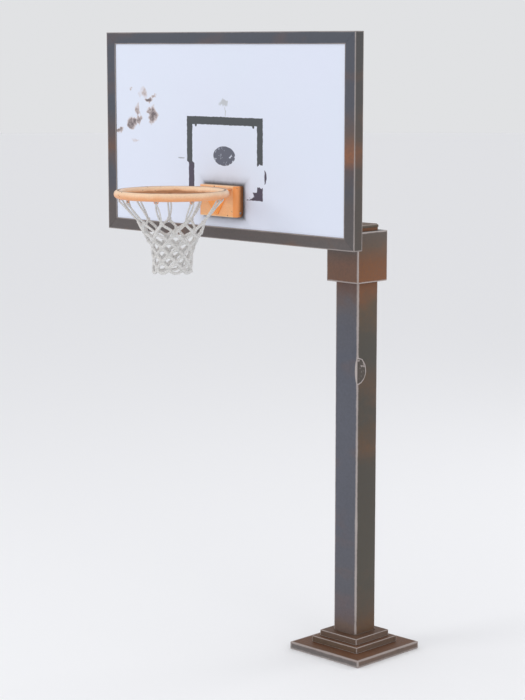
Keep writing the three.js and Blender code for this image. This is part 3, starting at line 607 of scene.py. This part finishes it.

# %% [markdown]
# ## Orange powder coat
# The ring, its bracket, the tray and the brace are powder coated orange. Faces that look up are
# painted lighter, towards peach, as painted light from above, while faces turned down keep the
# strong orange. It chips to dark primer at corners, and near the board it is painted darker as shade.

# %% Rim finish
def powder_coat(name, strong, top_lit, low=None, high=None, crown=0.0):
    """Orange powder coat; low and high give a box whose edges get a painted highlight, crown darkens a tube's
    top.
    """
    material, add, shader = new_material(name, Coat_Weight=0.12, Coat_Roughness=0.35)
    place = add("TexCoord", take="Object")
    normal = add("TexCoord", take="Normal")
    upward = add("SeparateXYZ", {0: normal}, take=2)
    clouds = speckle(add, place, 0.09, 4.0)
    drift = add("MapRange", {0: clouds, 1: 0.3, 2: 0.7, 3: -0.25, 4: 0.25})
    upward = add("Math", {0: upward, 1: drift}, **ADD)
    # painted light: faces that look up are mixed towards the lighter colour, as if lit from above
    painted_top_light = add("MapRange", {0: upward, 1: -0.55, 2: 0.85}, **SMOOTH)
    base = add("Mix", {0: painted_top_light, 6: colour(strong), 7: colour(top_lit)}, **COLOURS)
    if crown:
        # a darker brown line is mixed in along the tube's top
        top_line = add("SeparateXYZ", {0: normal}, take=2)
        top_line = add("Math", {0: drift, 1: 0.10, 2: top_line}, **MULTIPLY_ADD)
        top_line = add("MapRange", {0: top_line, 1: 0.93, 2: 0.995, 4: crown}, **SMOOTH)
        base = add("Mix", {0: top_line, 6: base, 7: colour("6f482c")}, **COLOURS)
        # painted shade: the tube's inner lower side, turned down and towards the middle, is painted brown
        ring_low, ring_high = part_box("ring")
        middle_x, middle_y = (ring_low.x + ring_high.x) / 2, ring_low.y + (ring_high.x - ring_low.x) / 2
        spoke = add("VectorMath", {0: place, 1: (middle_x, middle_y, 0)}, **SUBTRACT)
        spoke = add("VectorMath", {0: spoke, 1: (1, 1, 0)}, **MULTIPLY)
        spoke = add("VectorMath", {0: spoke}, operation="NORMALIZE")
        outward = add("VectorMath", {0: spoke, 1: normal}, take=1, operation="DOT_PRODUCT")
        inner = add("MapRange", {0: outward, 1: -0.2, 2: -0.6, 4: 0.65}, **SMOOTH)
        under = add("MapRange", {0: upward, 1: 0.15, 2: -0.35}, **SMOOTH)
        underside_shade = add("Math", {0: inner, 1: under}, **MULTIPLY)
        base = add("Mix", {0: underside_shade, 6: base, 7: colour("8f5a34")}, **COLOURS)
    fine = speckle(add, place, 0.007, 6.0)
    tone = add("MapRange", {0: fine, 1: 0.3, 2: 0.7, 3: 0.92, 4: 1.06})
    base = add("Mix", {0: 1.0, 6: base, 7: tone}, blend_type="MULTIPLY", **COLOURS)
    if low is not None:
        # painted highlight: a light peach band along the box's edges
        edge = edge_distance(add, place, low, high)
        edge_band = add("MapRange", {0: clouds, 1: 0.3, 2: 0.7, 3: 0.0015, 4: 0.0055})
        edge_band = add("Math", {0: edge_band, 1: edge}, **SUBTRACT)
        edge_band = add("MapRange", {0: edge_band, 1: -0.0010, 2: 0.0015, 4: 0.8}, **SMOOTH)
        base = add("Mix", {0: edge_band, 6: base, 7: colour("f8d2a6")}, **COLOURS)
        # painted shade: faces turned sideways, the bracket's round corners and sides, are mixed to a deeper
        # orange
        bend = add("SeparateXYZ", {0: normal}, take=0)
        bend = add("Math", {0: bend}, **ABSOLUTE)
        turned = add("MapRange", {0: bend, 1: 0.12, 2: 0.35, 4: 0.85}, **SMOOTH)
        base = add("Mix", {0: turned, 6: base, 7: colour("f0944a")}, **COLOURS)
    # painted shade: the coat is darkened within a few centimetres of the board, where the board shades it
    back = add("SeparateXYZ", {0: place}, take=1)
    shade_reach = add("Math", {0: drift, 1: 0.03, 2: back}, **MULTIPLY_ADD)
    board_shade = add("MapRange", {0: shade_reach, 1: panel_low.y - 0.036, 2: panel_low.y - 0.010}, **SMOOTH)
    board_shade = add("Math", {0: board_shade, 1: 0.85}, **MULTIPLY)
    base = add("Mix", {0: board_shade, 6: base, 7: colour("5c3519")}, **COLOURS)
    chips = speckle(add, place, 0.016, 5.0)
    chipped = add("MapRange", {0: chips, 1: 0.70, 2: 0.72})
    base = add("Mix", {0: chipped, 6: base, 7: colour("7c4a2c")}, **COLOURS)
    rough = add("MapRange", {0: fine, 1: 0.3, 2: 0.7, 3: 0.38, 4: 0.56})
    height = add("Math", {0: chipped, 1: -0.8, 2: fine}, **MULTIPLY_ADD)
    bump = add("Bump", {"Height": height, "Strength": 0.3, "Distance": 0.0005})
    wire(shader, Base_Color=base, Roughness=rough, Normal=bump)
    return material


# each coat's second colour is its painted top light, the first its colour on faces turned down
ring_coat = powder_coat("powder_coat_with_painted_top_light_on_ring", "eaa470", "f6d2ae", crown=0.8)
tray_coat = powder_coat("powder_coat_with_painted_top_light_on_tray", "e8a06a", "efbf95")
bracket_coat = powder_coat("powder_coat_with_painted_top_light_on_bracket", "f7b377", "efc096", bracket_low, bracket_high)
brace_coat = powder_coat("powder_coat_on_brace", "ff9f45", "f9b36c")
print("powder coats: ring, tray, bracket, brace")

# %% [markdown]
# ## Small metal parts, nylon and cord
# Bolts, nuts and the clamp screw are zinc plated: a dull bluish grey with darker bloom. The torsion
# springs are oiled spring steel, almost black. The glide pads and the handle's tips are black nylon,
# moulded and slightly glossy. The net is braided cord, greyed by rain, whose braid follows the cord.

# %% Metal, nylon and cord finishes
def plated(name, light, dark, low_rough, high_rough):
    material, add, shader = new_material(name, Metallic=1.0)
    place = add("TexCoord", take="Object")
    bloom = speckle(add, place, 0.012, 5.0)
    share = add("MapRange", {0: bloom, 1: 0.35, 2: 0.7})
    base = add("Mix", {0: share, 6: colour(light), 7: colour(dark)}, **COLOURS)
    rough = add("MapRange", {0: share, 3: low_rough, 4: high_rough})
    bump = add("Bump", {"Height": bloom, "Strength": 0.2, "Distance": 0.0003})
    wire(shader, Base_Color=base, Roughness=rough, Normal=bump)
    return material


zinc = plated("dull_zinc_plate", "b9bcc2", "83868c", 0.34, 0.6)
spring_steel = plated("oiled_spring_steel", "4a4c50", "2c2b2c", 0.28, 0.5)

nylon, add, shader = new_material("moulded_black_nylon", Roughness=0.5)
place = add("TexCoord", take="Object")
grain = speckle(add, place, 0.0015, 2.0)
scuffed = speckle(add, place, 0.03, 4.0)
scuffed = add("MapRange", {0: scuffed, 1: 0.5, 2: 0.75})
base = add("Mix", {0: scuffed, 6: colour("222326"), 7: colour("3b3b3d")}, **COLOURS)
bump = add("Bump", {"Height": grain, "Strength": 0.25, "Distance": 0.0002})
wire(shader, Base_Color=base, Normal=bump)

cord_fibre, add, shader = new_material("braided_polyester_cord", Roughness=0.85, Sheen_Weight=0.25)
place = add("TexCoord", take="Object")
along = add("TexCoord", take="UV")
u, v, _ = add("SeparateXYZ", {0: along}, take="all")
BRAID_TURNS = 6.0                        # strands of the braid met on the way round the cord
turned = add("Math", {0: v, 1: BRAID_TURNS}, **MULTIPLY)
strands = []
for hand in (-1.0, 1.0):
    twist = add("Math", {0: u, 1: hand, 2: turned}, **MULTIPLY_ADD)
    twist = add("Math", {0: twist, 1: math.tau}, **MULTIPLY)
    strands.append(add("Math", {0: twist}, operation="SINE"))
braid = add("Math", {0: strands[0], 1: strands[1]}, **MAXIMUM)
grey = speckle(add, place, 0.06, 4.0)
base = add("Mix", {0: grey, 6: colour("dcdad6"), 7: colour("fbfaf8")}, **COLOURS)
# painted shade: the braid's grooves are darkened in the colour
groove_shade = add("MapRange", {0: braid, 1: -0.2, 2: 0.7, 3: 0.58, 4: 1.0})
base = add("Mix", {0: 1.0, 6: base, 7: groove_shade}, blend_type="MULTIPLY", **COLOURS)
bump = add("Bump", {"Height": braid, "Strength": 0.6, "Distance": 0.0015})
wire(shader, Base_Color=base, Normal=bump)
print("zinc, spring steel, nylon and cord")

# %% [markdown]
# ## CAD nodes that stay
# The rails, tubes and flat plates already have the right shape. Their CAD edges are razor sharp, and
# real steel never is, so a stack of modifiers welds the loose triangles, joins the flat ones and
# rounds the edges by about a millimetre. The mesh itself is left alone.

# %% Soften and paint the CAD nodes
def soften(name, material, width):
    piece = frame["nodes"][name]
    piece.material_slots[0].material = material
    weld = piece.modifiers.new("weld", "WELD")
    weld.merge_threshold = 0.00002
    flat = piece.modifiers.new("flat", "DECIMATE")
    flat.decimate_type = "DISSOLVE"
    flat.angle_limit = math.radians(0.5)
    bevel = piece.modifiers.new("bevel", "BEVEL")
    bevel.width = width
    bevel.segments = 2
    bevel.angle_limit = math.radians(50)


tube_stops = [(0.0, "6a5a50"), (0.3, "5c5d64"), (1.0, "5a5d64")]
shared_low, shared_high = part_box("upright_left")
tube_enamel = plain_enamel("brushed_enamel_on_small_tubes", shared_low - Vector((1, 1, 0)),
                           shared_high + Vector((1, 1, 0)), tube_stops, side_share=0.4, rust=0.4)
arm_enamel = plain_enamel("brushed_enamel_on_arms", (-1, -1, collar_low.z), (1, 1, board_high.z),
                          [(0.0, "66564b"), (0.4, "5a5b62"), (1.0, "5a5d64")], side_share=0.4, rust=0.45)

for name, material in frame_paints.items():
    soften(name, material, 0.0015)
for name, material in base_paints.items():
    soften(name, material, 0.0012)
soften("post_cap", cap_enamel, 0.002)
soften("backboard_panel", panel_paint, 0.0008)
for name in ("upright_left", "upright_right", "rim_backing_plate", "side_brace_lower_left",
             "side_brace_lower_right", "side_brace_upper_left", "side_brace_upper_right"):
    soften(name, tube_enamel, 0.0008)
for name in ("arm_lower_left", "arm_lower_right", "arm_upper_left", "arm_upper_right", "head_plate"):
    soften(name, arm_enamel, 0.0012)
for name in ("rim_mount_plate", "bracket_inner_plate"):
    soften(name, brace_coat, 0.0008)
frame["nodes"]["ring_tray"].material_slots[0].material = tray_coat
frame["nodes"]["brace_wedge"].material_slots[0].material = brace_coat
for name in ("glide_pad_left", "glide_pad_right", "glide_pad_front", "glide_pad_rear"):
    soften(name, nylon, 0.001)
print("softened", sum(1 for n in frame["nodes"].values() if n.modifiers), "CAD nodes")

# %% [markdown]
# ## Making a new piece
# Every other piece is built with bmesh operators. This helper ends each of them the same way: it
# merges doubles, turns faces outwards, shades smooth but keeps corners over 35 degrees crisp, parents
# it to the body it rides on and hides the CAD nodes it stands for.

# %% Finish a bmesh
def new_piece(name, bm, material, body, slot, *nodes, crease=35):
    bmesh.ops.remove_doubles(bm, verts=bm.verts, dist=0.00001)
    bmesh.ops.recalc_face_normals(bm, faces=bm.faces)
    mesh = bpy.data.meshes.new(name)
    bm.to_mesh(mesh)
    bm.free()
    mesh.shade_smooth()
    mesh.set_sharp_from_angle(angle=math.radians(crease))
    mesh.materials.append(material)
    piece = bpy.data.objects.new(name, mesh)
    bpy.context.collection.objects.link(piece)
    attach(piece, body)
    if nodes:
        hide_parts(*nodes)
    print(name, "has", len(mesh.polygons), "faces")
    return piece


def faces_where(bm, test):
    return [f for f in bm.faces if test(f)]


def verts_in(made):
    return [g for g in made["geom"] if isinstance(g, bmesh.types.BMVert)]


def edges_round(made):
    return list({e for v in made["verts"] for e in v.link_edges})


def round_off(bm, geom, offset, segments, affect="EDGES", **options):
    """Round some edges, or the corners at some vertices if affect is "VERTICES"."""
    bmesh.ops.bevel(bm, geom=geom, offset=offset, offset_type="OFFSET", affect=affect,
                    segments=segments, profile=0.5, material=-1, **options)


# %% [markdown]
# ## Post and collar
# Both are square tubes with rounded corners. A square face gets its corners bevelled, and is pulled
# up to length. The post is then opened at both ends and given its wall. The collar keeps its ends:
# each is inset a little, its inner outline is scaled to the bore, and the face inside is deleted.
# Scaling keeps the corners in step, where bridging two separate outlines can fold them over.

# %% Post
def rounded_prism(bm, low, high, radius, segments=8):
    """A block with rounded upright corners between two corners of a box."""
    centre = (low + high) / 2
    size = high - low
    place = Matrix.Translation((centre.x, centre.y, low.z)) @ Matrix.Diagonal((size.x, size.y, 1, 1))
    bmesh.ops.create_grid(bm, x_segments=1, y_segments=1, size=0.5, matrix=place)
    round_off(bm, bm.verts[:], radius, segments, "VERTICES")
    pulled = bmesh.ops.extrude_face_region(bm, geom=bm.faces[:])
    bmesh.ops.translate(bm, verts=verts_in(pulled), vec=(0, 0, size.z))


POST_WALL = 0.008
bm = bmesh.new()
rounded_prism(bm, post_low, post_high, 0.010)
ends = faces_where(bm, lambda f: abs(f.normal.z) > 0.9)
bmesh.ops.delete(bm, geom=ends, context="FACES")
bmesh.ops.recalc_face_normals(bm, faces=bm.faces)
bmesh.ops.solidify(bm, geom=bm.faces[:], thickness=POST_WALL)
new_piece("post", bm, post_enamel, "stand", "post_paint", "post_tube")

# %% Collar
COLLAR_WALL = 0.005
bore = (post_high.x - post_low.x) / 2 + 0.002
bm = bmesh.new()
rounded_prism(bm, collar_low, collar_high, 0.006, 4)
ends = faces_where(bm, lambda f: abs(f.normal.z) > 0.9)
bmesh.ops.inset_individual(bm, faces=ends, thickness=0.003)
for end in ends:
    reach = Vector((max(v.co.x for v in end.verts), max(v.co.y for v in end.verts)))
    bmesh.ops.scale(bm, verts=end.verts[:], vec=(bore / reach.x, bore / reach.y, 1))
bmesh.ops.delete(bm, geom=ends, context="FACES")
rims = [e for e in bm.edges if len(e.link_faces) == 2 and e.calc_face_angle() > 1.2]
round_off(bm, rims, 0.002, 3, clamp_overlap=True)
collar = new_piece("collar", bm, collar_enamel, "head", "post_paint", "collar_sleeve")
wall = collar.modifiers.new("wall", "SOLIDIFY")
wall.thickness = COLLAR_WALL
wall.offset = -1

# %% [markdown]
# ## Ring and hooks
# The ring is a bent tube, so a circle is spun once round the ring's centre. Nine hooks of thin wire
# are welded under it: a small circle is spun half a turn to make the bend, and its two open ends are
# pulled up into the tube and closed.

# %% Solid rods and welds
def rod(bm, start, end, radius, sides=32, chamfer=0.0):
    """A solid rod between two points, with softened rims if chamfer is set."""
    start, end = Vector(start), Vector(end)
    along = end - start
    place = Matrix.Translation((start + end) / 2) @ along.to_track_quat("Z", "Y").to_matrix().to_4x4()
    made = bmesh.ops.create_cone(bm, cap_ends=True, segments=sides, radius1=radius, radius2=radius,
                                 depth=along.length, matrix=place)
    rims = [e for e in edges_round(made) if abs((e.verts[0].co - e.verts[1].co).dot(along)) < 1e-9]
    if chamfer:
        round_off(bm, rims, chamfer, 2)


def weld(bm, start, end, size):
    """A row of flattened beads from start to end, like the ripples of a hand-made weld."""
    start, end = Vector(start), Vector(end)
    along = end - start
    turn = along.to_track_quat("X", "Z").to_matrix().to_4x4()
    count = max(2, round(along.length / (size * 0.62)))
    for i in range(count + 1):
        place = Matrix.Translation(start + along * (i / count)) @ turn
        place = place @ Matrix.Diagonal((0.55, 1.0, 1.0, 1.0))
        bmesh.ops.create_uvsphere(bm, u_segments=8, v_segments=6, radius=size, matrix=place)


# %% Ring
TUBE = 0.037
HOOKS = 9
HOOK_WIRE = 0.005
ring_low, ring_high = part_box("ring")
ring_radius = (ring_high.x - ring_low.x - TUBE) / 2
ring_centre = Vector(((ring_low.x + ring_high.x) / 2, ring_low.y + TUBE / 2 + ring_radius,
                      ring_high.z - TUBE / 2))
HOOK_HALF = 0.009
hook_radius = ring_radius - TUBE / 2 + HOOK_WIRE * 1.4
bend_height = ring_low.z + HOOK_WIRE / 2 + HOOK_HALF
upright_circle = Matrix.Translation(ring_centre + Vector((ring_radius, 0, 0)))

bm = bmesh.new()
bmesh.ops.create_circle(bm, segments=28, radius=TUBE / 2,
                        matrix=upright_circle @ Matrix.Rotation(math.pi / 2, 4, "X"))
bmesh.ops.spin(bm, geom=bm.verts[:] + bm.edges[:], cent=ring_centre, axis=(0, 0, 1),
               angle=math.tau, steps=128, use_merge=True)
for i in range(HOOKS):
    before = set(bm.verts)
    bend = Vector((ring_centre.x + hook_radius, ring_centre.y, bend_height))
    start = Matrix.Translation(bend + Vector((0, HOOK_HALF, 0)))
    made = bmesh.ops.create_circle(bm, segments=10, radius=HOOK_WIRE / 2, matrix=start)
    bmesh.ops.spin(bm, geom=made["verts"] + edges_round(made), cent=bend, axis=(1, 0, 0),
                   angle=-math.pi, steps=12)
    open_ends = [e for v in set(bm.verts) - before for e in v.link_edges if e.is_boundary]
    pulled = bmesh.ops.extrude_edge_only(bm, edges=list(set(open_ends)))
    legs = verts_in(pulled)
    bmesh.ops.translate(bm, verts=legs, vec=(0, 0, ring_centre.z - TUBE * 0.36 - bend_height))
    tips = {e for v in legs for e in v.link_edges if e.is_boundary}
    bmesh.ops.holes_fill(bm, edges=list(tips), sides=12)
    bmesh.ops.rotate(bm, verts=list(set(bm.verts) - before), cent=ring_centre,
                     matrix=Matrix.Rotation(math.pi + i * math.tau / HOOKS, 3, "Z"))
new_piece("ring_and_hooks", bm, ring_coat, "rim", "rim_paint", "ring")
print("ring", round(2000 * (ring_radius - TUBE / 2)), "mm inside with", HOOKS, "hooks")

# %% [markdown]
# ## Bracket
# The bracket is pressed from one sheet: a front, two sides with generous round corners, and a top.
# It starts as a block with rounded upright corners in front. Its back and its foot are removed, the
# lower back corners are rounded so that it can swing about its pin, and the sheet is given its wall.

# %% Bracket
BRACKET_WALL = 0.004
BRACKET_CORNER = 0.025
SHOULDER = 0.0045
HEEL = 0.018
bm = bmesh.new()
size = bracket_high - bracket_low
place = Matrix.Translation((bracket_low + bracket_high) / 2) @ Matrix.Diagonal((*size, 1))
bmesh.ops.create_cube(bm, size=1, matrix=place)
corners = [e for e in bm.edges if all(v.co.y < bracket_low.y + 0.001 for v in e.verts)
           and abs(e.verts[0].co.z - e.verts[1].co.z) > 0.01]
round_off(bm, corners, BRACKET_CORNER, 10)
unseen = faces_where(bm, lambda f: f.normal.y > 0.9 or f.normal.z < -0.9)
bmesh.ops.delete(bm, geom=unseen, context="FACES")
shoulder = [e for e in bm.edges if all(v.co.z > bracket_high.z - 0.001 for v in e.verts)
            and not e.is_boundary]
round_off(bm, shoulder, SHOULDER, 4)
heels = [v for v in bm.verts if v.co.y > bracket_high.y - 0.001 and v.co.z < bracket_low.z + 0.001]
round_off(bm, heels, HEEL, 6, "VERTICES")
bracket = new_piece("bracket_cover", bm, bracket_coat, "rim", "rim_paint", "rim_bracket", crease=60)
wall = bracket.modifiers.new("wall", "SOLIDIFY")
wall.thickness = BRACKET_WALL
wall.offset = -1
soft_rim = bracket.modifiers.new("rim", "BEVEL")
soft_rim.width = 0.0008
soft_rim.segments = 2
soft_rim.angle_limit = math.radians(60)

# %% [markdown]
# ## Bolts, pin and springs
# Hex heads and nuts are six-sided rods with softened rims, each on a round washer. The hinge pin's
# ends are rounded a little. A torsion spring is a circle of wire spun about the pin while it slides
# along it, which makes a helix, and its last ring of edges is pulled up as the leg that pushes on the
# mount plate.

# %% Bolts and nuts
SHANK = 0.006                            # radius
HEX_TOP, WASHER_BOTTOM, WASHER_TOP = 0.0068, 0.0062, 0.0080      # from the bolt's front
NUT_WASHER, NUT_START = 0.0018, 0.0016

for level_name in ("low", "high"):
    for side_name in ("left", "right"):
        label = level_name + "_" + side_name
        low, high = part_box("rim_bolt_" + label)
        nut_low, nut_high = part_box("rim_nut_" + label)
        axis = Vector(((low.x + high.x) / 2, 0, (low.z + high.z) / 2))
        across = (high.z - low.z) / 2

        def at(y):
            return Vector((axis.x, y, axis.z))

        bm = bmesh.new()
        rod(bm, at(low.y), at(low.y + HEX_TOP), across, 6, 0.0007)
        rod(bm, at(low.y + WASHER_BOTTOM), at(low.y + WASHER_TOP), across * 1.02, 28, 0.0003)
        rod(bm, at(low.y + 0.007), at(high.y), SHANK, 20, 0.0012)
        new_piece("rim_bolt_with_washer_" + label, bm, zinc, "head", "zinc", "rim_bolt_" + label)
        bm = bmesh.new()
        rod(bm, at(nut_low.y + NUT_START), at(nut_high.y), across, 6, 0.0008)
        rod(bm, at(nut_low.y), at(nut_low.y + NUT_WASHER), across * 1.02, 28, 0.0003)
        new_piece("rim_nut_with_washer_" + label, bm, zinc, "head", "zinc", "rim_nut_" + label)

# %% Hinge pin and torsion springs
pin_low, pin_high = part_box("hinge_pin")
pin = (pin_low + pin_high) / 2
pin_radius = (pin_high.z - pin_low.z) / 2
bm = bmesh.new()
rod(bm, (pin_low.x, pin.y, pin.z), (pin_high.x, pin.y, pin.z), pin_radius, 32, 0.0015)
new_piece("hinge_pin_with_domed_ends", bm, zinc, "head", "zinc", "hinge_pin")

SPRING_WIRE = 0.0044
SPRING_TURNS = 5
for side_name in ("left", "right"):
    low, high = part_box("torsion_spring_" + side_name)
    coil = (high.y - low.y - SPRING_WIRE) / 2
    start = Vector((low.x + SPRING_WIRE / 2, pin.y + coil, pin.z))
    run = high.x - low.x - SPRING_WIRE
    steps = SPRING_TURNS * 24
    bm = bmesh.new()
    made = bmesh.ops.create_circle(bm, segments=10, radius=SPRING_WIRE / 2, matrix=Matrix.Translation(start))
    bmesh.ops.spin(bm, geom=made["verts"] + edges_round(made), cent=pin, axis=(1, 0, 0),
                   dvec=(run / steps, 0, 0), angle=math.tau * SPRING_TURNS, steps=steps)
    last = [e for e in bm.edges if e.is_boundary and e.verts[0].co.x > high.x - SPRING_WIRE * 1.2]
    pulled = bmesh.ops.extrude_edge_only(bm, edges=last)
    bmesh.ops.translate(bm, verts=verts_in(pulled), vec=(0, 0, high.z - SPRING_WIRE / 2 - pin.z))
    bmesh.ops.holes_fill(bm, edges=[e for e in bm.edges if e.is_boundary], sides=12)
    new_piece("coil_" + side_name, bm, spring_steel, "head", "spring_steel", "torsion_spring_" + side_name)

# %% [markdown]
# ## Clamp screw and its handle
# The screw at the collar's back is a threaded rod with a hub, a sliding T handle and two nylon tips.
# The thread is a small triangle spun about the screw with a step along it on each turn.

# %% Clamp
screw_low, screw_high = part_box("clamp_screw")
handle_low, handle_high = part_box("clamp_handle")
foot_low, foot_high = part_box("clamp_foot")
hub = (handle_low + handle_high) / 2
SCREW_RADIUS = 0.008
HUB_RADIUS = (screw_high.z - screw_low.z) / 2
PITCH_OF_THREAD = 0.002
STEPS_A_TURN = 20

bm = bmesh.new()
rod(bm, (hub.x, screw_low.y, hub.z), (hub.x, hub.y, hub.z), SCREW_RADIUS - 0.0012, 24)
rod(bm, hub - Vector((HUB_RADIUS, 0, 0)), hub + Vector((HUB_RADIUS, 0, 0)), HUB_RADIUS, 36, 0.0025)
turns = round((hub.y - HUB_RADIUS - screw_low.y - 0.002) / PITCH_OF_THREAD)
ridge = [bm.verts.new((hub.x + r, screw_low.y + 0.001 + y, hub.z)) for r, y in
         ((SCREW_RADIUS - 0.0014, 0.0), (SCREW_RADIUS, 0.0009), (SCREW_RADIUS - 0.0014, 0.0018))]
section = [bm.edges.new((ridge[i - 1], ridge[i])) for i in range(3)]
bmesh.ops.spin(bm, geom=ridge + section, cent=hub, axis=(0, 1, 0), angle=math.tau * turns,
               dvec=(0, PITCH_OF_THREAD / STEPS_A_TURN, 0), steps=turns * STEPS_A_TURN)
bmesh.ops.holes_fill(bm, edges=[e for e in bm.edges if e.is_boundary], sides=3)
new_piece("clamp_screw_threaded", bm, zinc, "screw", "zinc", "clamp_screw")

bm = bmesh.new()
rod(bm, (hub.x, hub.y, handle_low.z), (hub.x, hub.y, handle_high.z), (handle_high.x - handle_low.x) / 2,
    28, 0.001)
new_piece("clamp_handle_rod", bm, zinc, "screw", "zinc", "clamp_handle")
for end_name in ("top", "bottom"):
    low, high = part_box("handle_tip_" + end_name)
    bm = bmesh.new()
    rod(bm, (hub.x, hub.y, low.z), (hub.x, hub.y, high.z), (high.x - low.x) / 2, 36, 0.004)
    new_piece("handle_cap_" + end_name, bm, nylon, "screw", "nylon", "handle_tip_" + end_name)
bm = bmesh.new()
rod(bm, (hub.x, foot_low.y, hub.z), (hub.x, foot_high.y, hub.z), (foot_high.z - foot_low.z) / 2, 40, 0.0012)
new_piece("clamp_pad", bm, nylon, "foot", "nylon", "clamp_foot")
soften("clamp_boss", arm_enamel, 0.002)

# %% [markdown]
# ## The knotted net
# A net is braided cord with a knot wherever two cords meet. Nine loops go over the hooks' wires and
# come down as pairs of legs to the first knots. Below them each knot sends one cord to either side,
# row by row, and round lobes close the foot. A cord is a curve with a round bevel, made into a mesh.
# Only a ninth of the net is made. Spin then copies it round the ring's centre until there are nine.

# %% One tube of cord
LEG = 0.0085                             # thickness of the cord in the loops
MESH = (0.0125, 0.0150, 0.0150, 0.0150, 0.0150, 0.0145)      # and in each row below
BRAID_PITCH = 0.017                      # a real braid's is half of this, too fine to show


def strand(bm, points, radius, smooth_steps=3, rings=2, closed=False):
    """A tube of cord through the points; its UV counts braid pitches along it."""
    curve = bpy.data.curves.new("strand", "CURVE")
    curve.dimensions = "3D"
    curve.resolution_u = smooth_steps
    curve.bevel_depth = radius
    curve.bevel_resolution = rings
    curve.use_fill_caps = not closed
    line = curve.splines.new("BEZIER")
    line.bezier_points.add(len(points) - 1)
    for knot, point in zip(line.bezier_points, points):
        knot.co = point
        knot.handle_left_type = knot.handle_right_type = "AUTO"
    line.use_cyclic_u = closed
    pitches = line.calc_length() / BRAID_PITCH
    holder = bpy.data.objects.new("strand", curve)
    mesh = bpy.data.meshes.new_from_object(holder)
    for corner in mesh.uv_layers.active.uv:
        corner.vector.x *= pitches
    bm.from_mesh(mesh)
    for unused, shelf in ((holder, bpy.data.objects), (curve, bpy.data.curves), (mesh, bpy.data.meshes)):
        shelf.remove(unused)


def around(degrees, radius, z, aside=0.0):
    """A point of the net, by its angle round the ring's centre, radius, height and step aside."""
    turn = Matrix.Rotation(math.radians(degrees), 3, "Z")
    return Vector((ring_centre.x, ring_centre.y, 0)) + turn @ Vector((radius, aside, z))


print("cord", round(LEG * 1000, 1), "mm thick in the loops and", round(max(MESH) * 1000, 1), "below")

# %% A ninth of the net
HOOK_ANGLE = -100
LOOP = (                                 # from the first knot over the hook's wire and back: aside, radius, z
    (-0.001, 0.156, 2.300), (-0.006, 0.186, 2.333), (-0.007, 0.207, 2.360), (-0.005, 0.2195, 2.381),
    (-0.0015, 0.225, 2.392), (0.0, 0.231, 2.400), (0.0015, 0.239, 2.396), (0.003, 0.2405, 2.390),
    (0.005, 0.236, 2.3835), (0.007, 0.219, 2.367), (0.0065, 0.200, 2.346), (0.005, 0.182, 2.327),
    (0.001, 0.156, 2.300),
)
ROWS = (                                 # knot rows from the top: angle, radius, z
    (-99, 0.154, 2.297), (-76, 0.132, 2.252), (-91, 0.112, 2.216), (-71, 0.097, 2.182),
    (-91, 0.0905, 2.150), (-71, 0.087, 2.118), (-91, 0.085, 2.088),
)
SHARE = 360 / HOOKS

net = bmesh.new()
strand(net, [around(HOOK_ANGLE + (height < 2.31), radius, height, aside) for aside, radius, height in LOOP],
       LEG / 2)
for upper_row, lower_row, thick in zip(ROWS, ROWS[1:], MESH):
    angle, radius, height = upper_row
    for shift in (0, SHARE, -SHARE):
        sweep = lower_row[0] + shift - angle
        if abs(sweep) > 0.75 * SHARE:
            continue
        points = []
        for share in (0.0, 0.22, 0.5, 0.78, 1.0):
            eased = 0.55 * share + 0.45 * share * share * (3 - 2 * share)
            points.append(around(angle + sweep * eased, radius + (lower_row[1] - radius) * share,
                                 height + (lower_row[2] - height) * share))
        strand(net, points, thick / 2)
angle, radius, height = ROWS[-1]
lobe = [(0.0, 0.0), (0.10, -0.010), (0.27, -0.0185), (0.5, -0.0215), (0.73, -0.0185), (0.90, -0.010),
        (1.0, 0.0)]
strand(net, [around(angle + share * SHARE, radius, height + drop) for share, drop in lobe],
       MESH[-1] / 2)
print("one ninth of the net has", len(net.faces), "faces")

# %% Knots
def tied(bm, degrees, radius, height, size):
    """A small overhand knot, drawn as a closed trefoil of cord that faces outwards."""
    points = []
    for i in range(12):
        t = math.tau * i / 12
        out = -math.sin(3 * t) * size * 0.75
        side = (math.sin(t) + 2 * math.sin(2 * t)) * size
        lift = (math.cos(t) - 2 * math.cos(2 * t)) * size
        points.append(around(degrees, radius + out, height + lift, side))
    strand(bm, points, size * 2.0, 2, 1, closed=True)


for row, (degrees, radius, height) in enumerate(ROWS):
    tied(net, degrees, radius, height, 0.0024 if row == 0 else 0.0031)
bmesh.ops.spin(net, geom=net.verts[:] + net.edges[:] + net.faces[:], cent=ring_centre, axis=(0, 0, 1),
               angle=math.tau * (HOOKS - 1) / HOOKS, steps=HOOKS - 1, use_duplicate=True)

# %% Let it hang unevenly
# no net hangs true: each part drifts a few millimetres, less and less towards the hooks
FREE_BELOW, FREE_OVER = 0.03, 0.12       # the drift starts below the hooks and grows over this height
DRIFT = 0.009
noise.seed_set(7)                        # without a seed, this noise starts from the clock
for vert in net.verts:
    loose = min(1.0, max(0.0, (bend_height - FREE_BELOW - vert.co.z) / FREE_OVER))
    drift = noise.noise_vector(vert.co * 9.0)
    vert.co += Vector((drift.x, drift.y, drift.z * 0.6)) * DRIFT * loose
knotted = new_piece("knotted_net", net, cord_fibre, "rim", "net_cord", "net", crease=80)
print("net hangs to", round(min(v.co.z for v in knotted.data.vertices), 3), "m")

# %% [markdown]
# ## Weld
# The stand is welded together, and a weld shows up close. The one drawn is a ripple of small
# flattened beads round the post's foot.

# %% Welds
def weld_round(bm, low, high, z, size):
    corners = [(low.x, low.y), (high.x, low.y), (high.x, high.y), (low.x, high.y)]
    for here, there in zip(corners, corners[1:] + corners[:1]):
        weld(bm, (*here, z), (*there, z), size)


bm = bmesh.new()
inset = Vector((0.004, 0.004, 0))
weld_round(bm, post_low + inset, post_high - inset, post_low.z, 0.0062)
new_piece("weld_round_post", bm, arm_enamel, "stand", "post_paint")
print("weld round the post's foot")
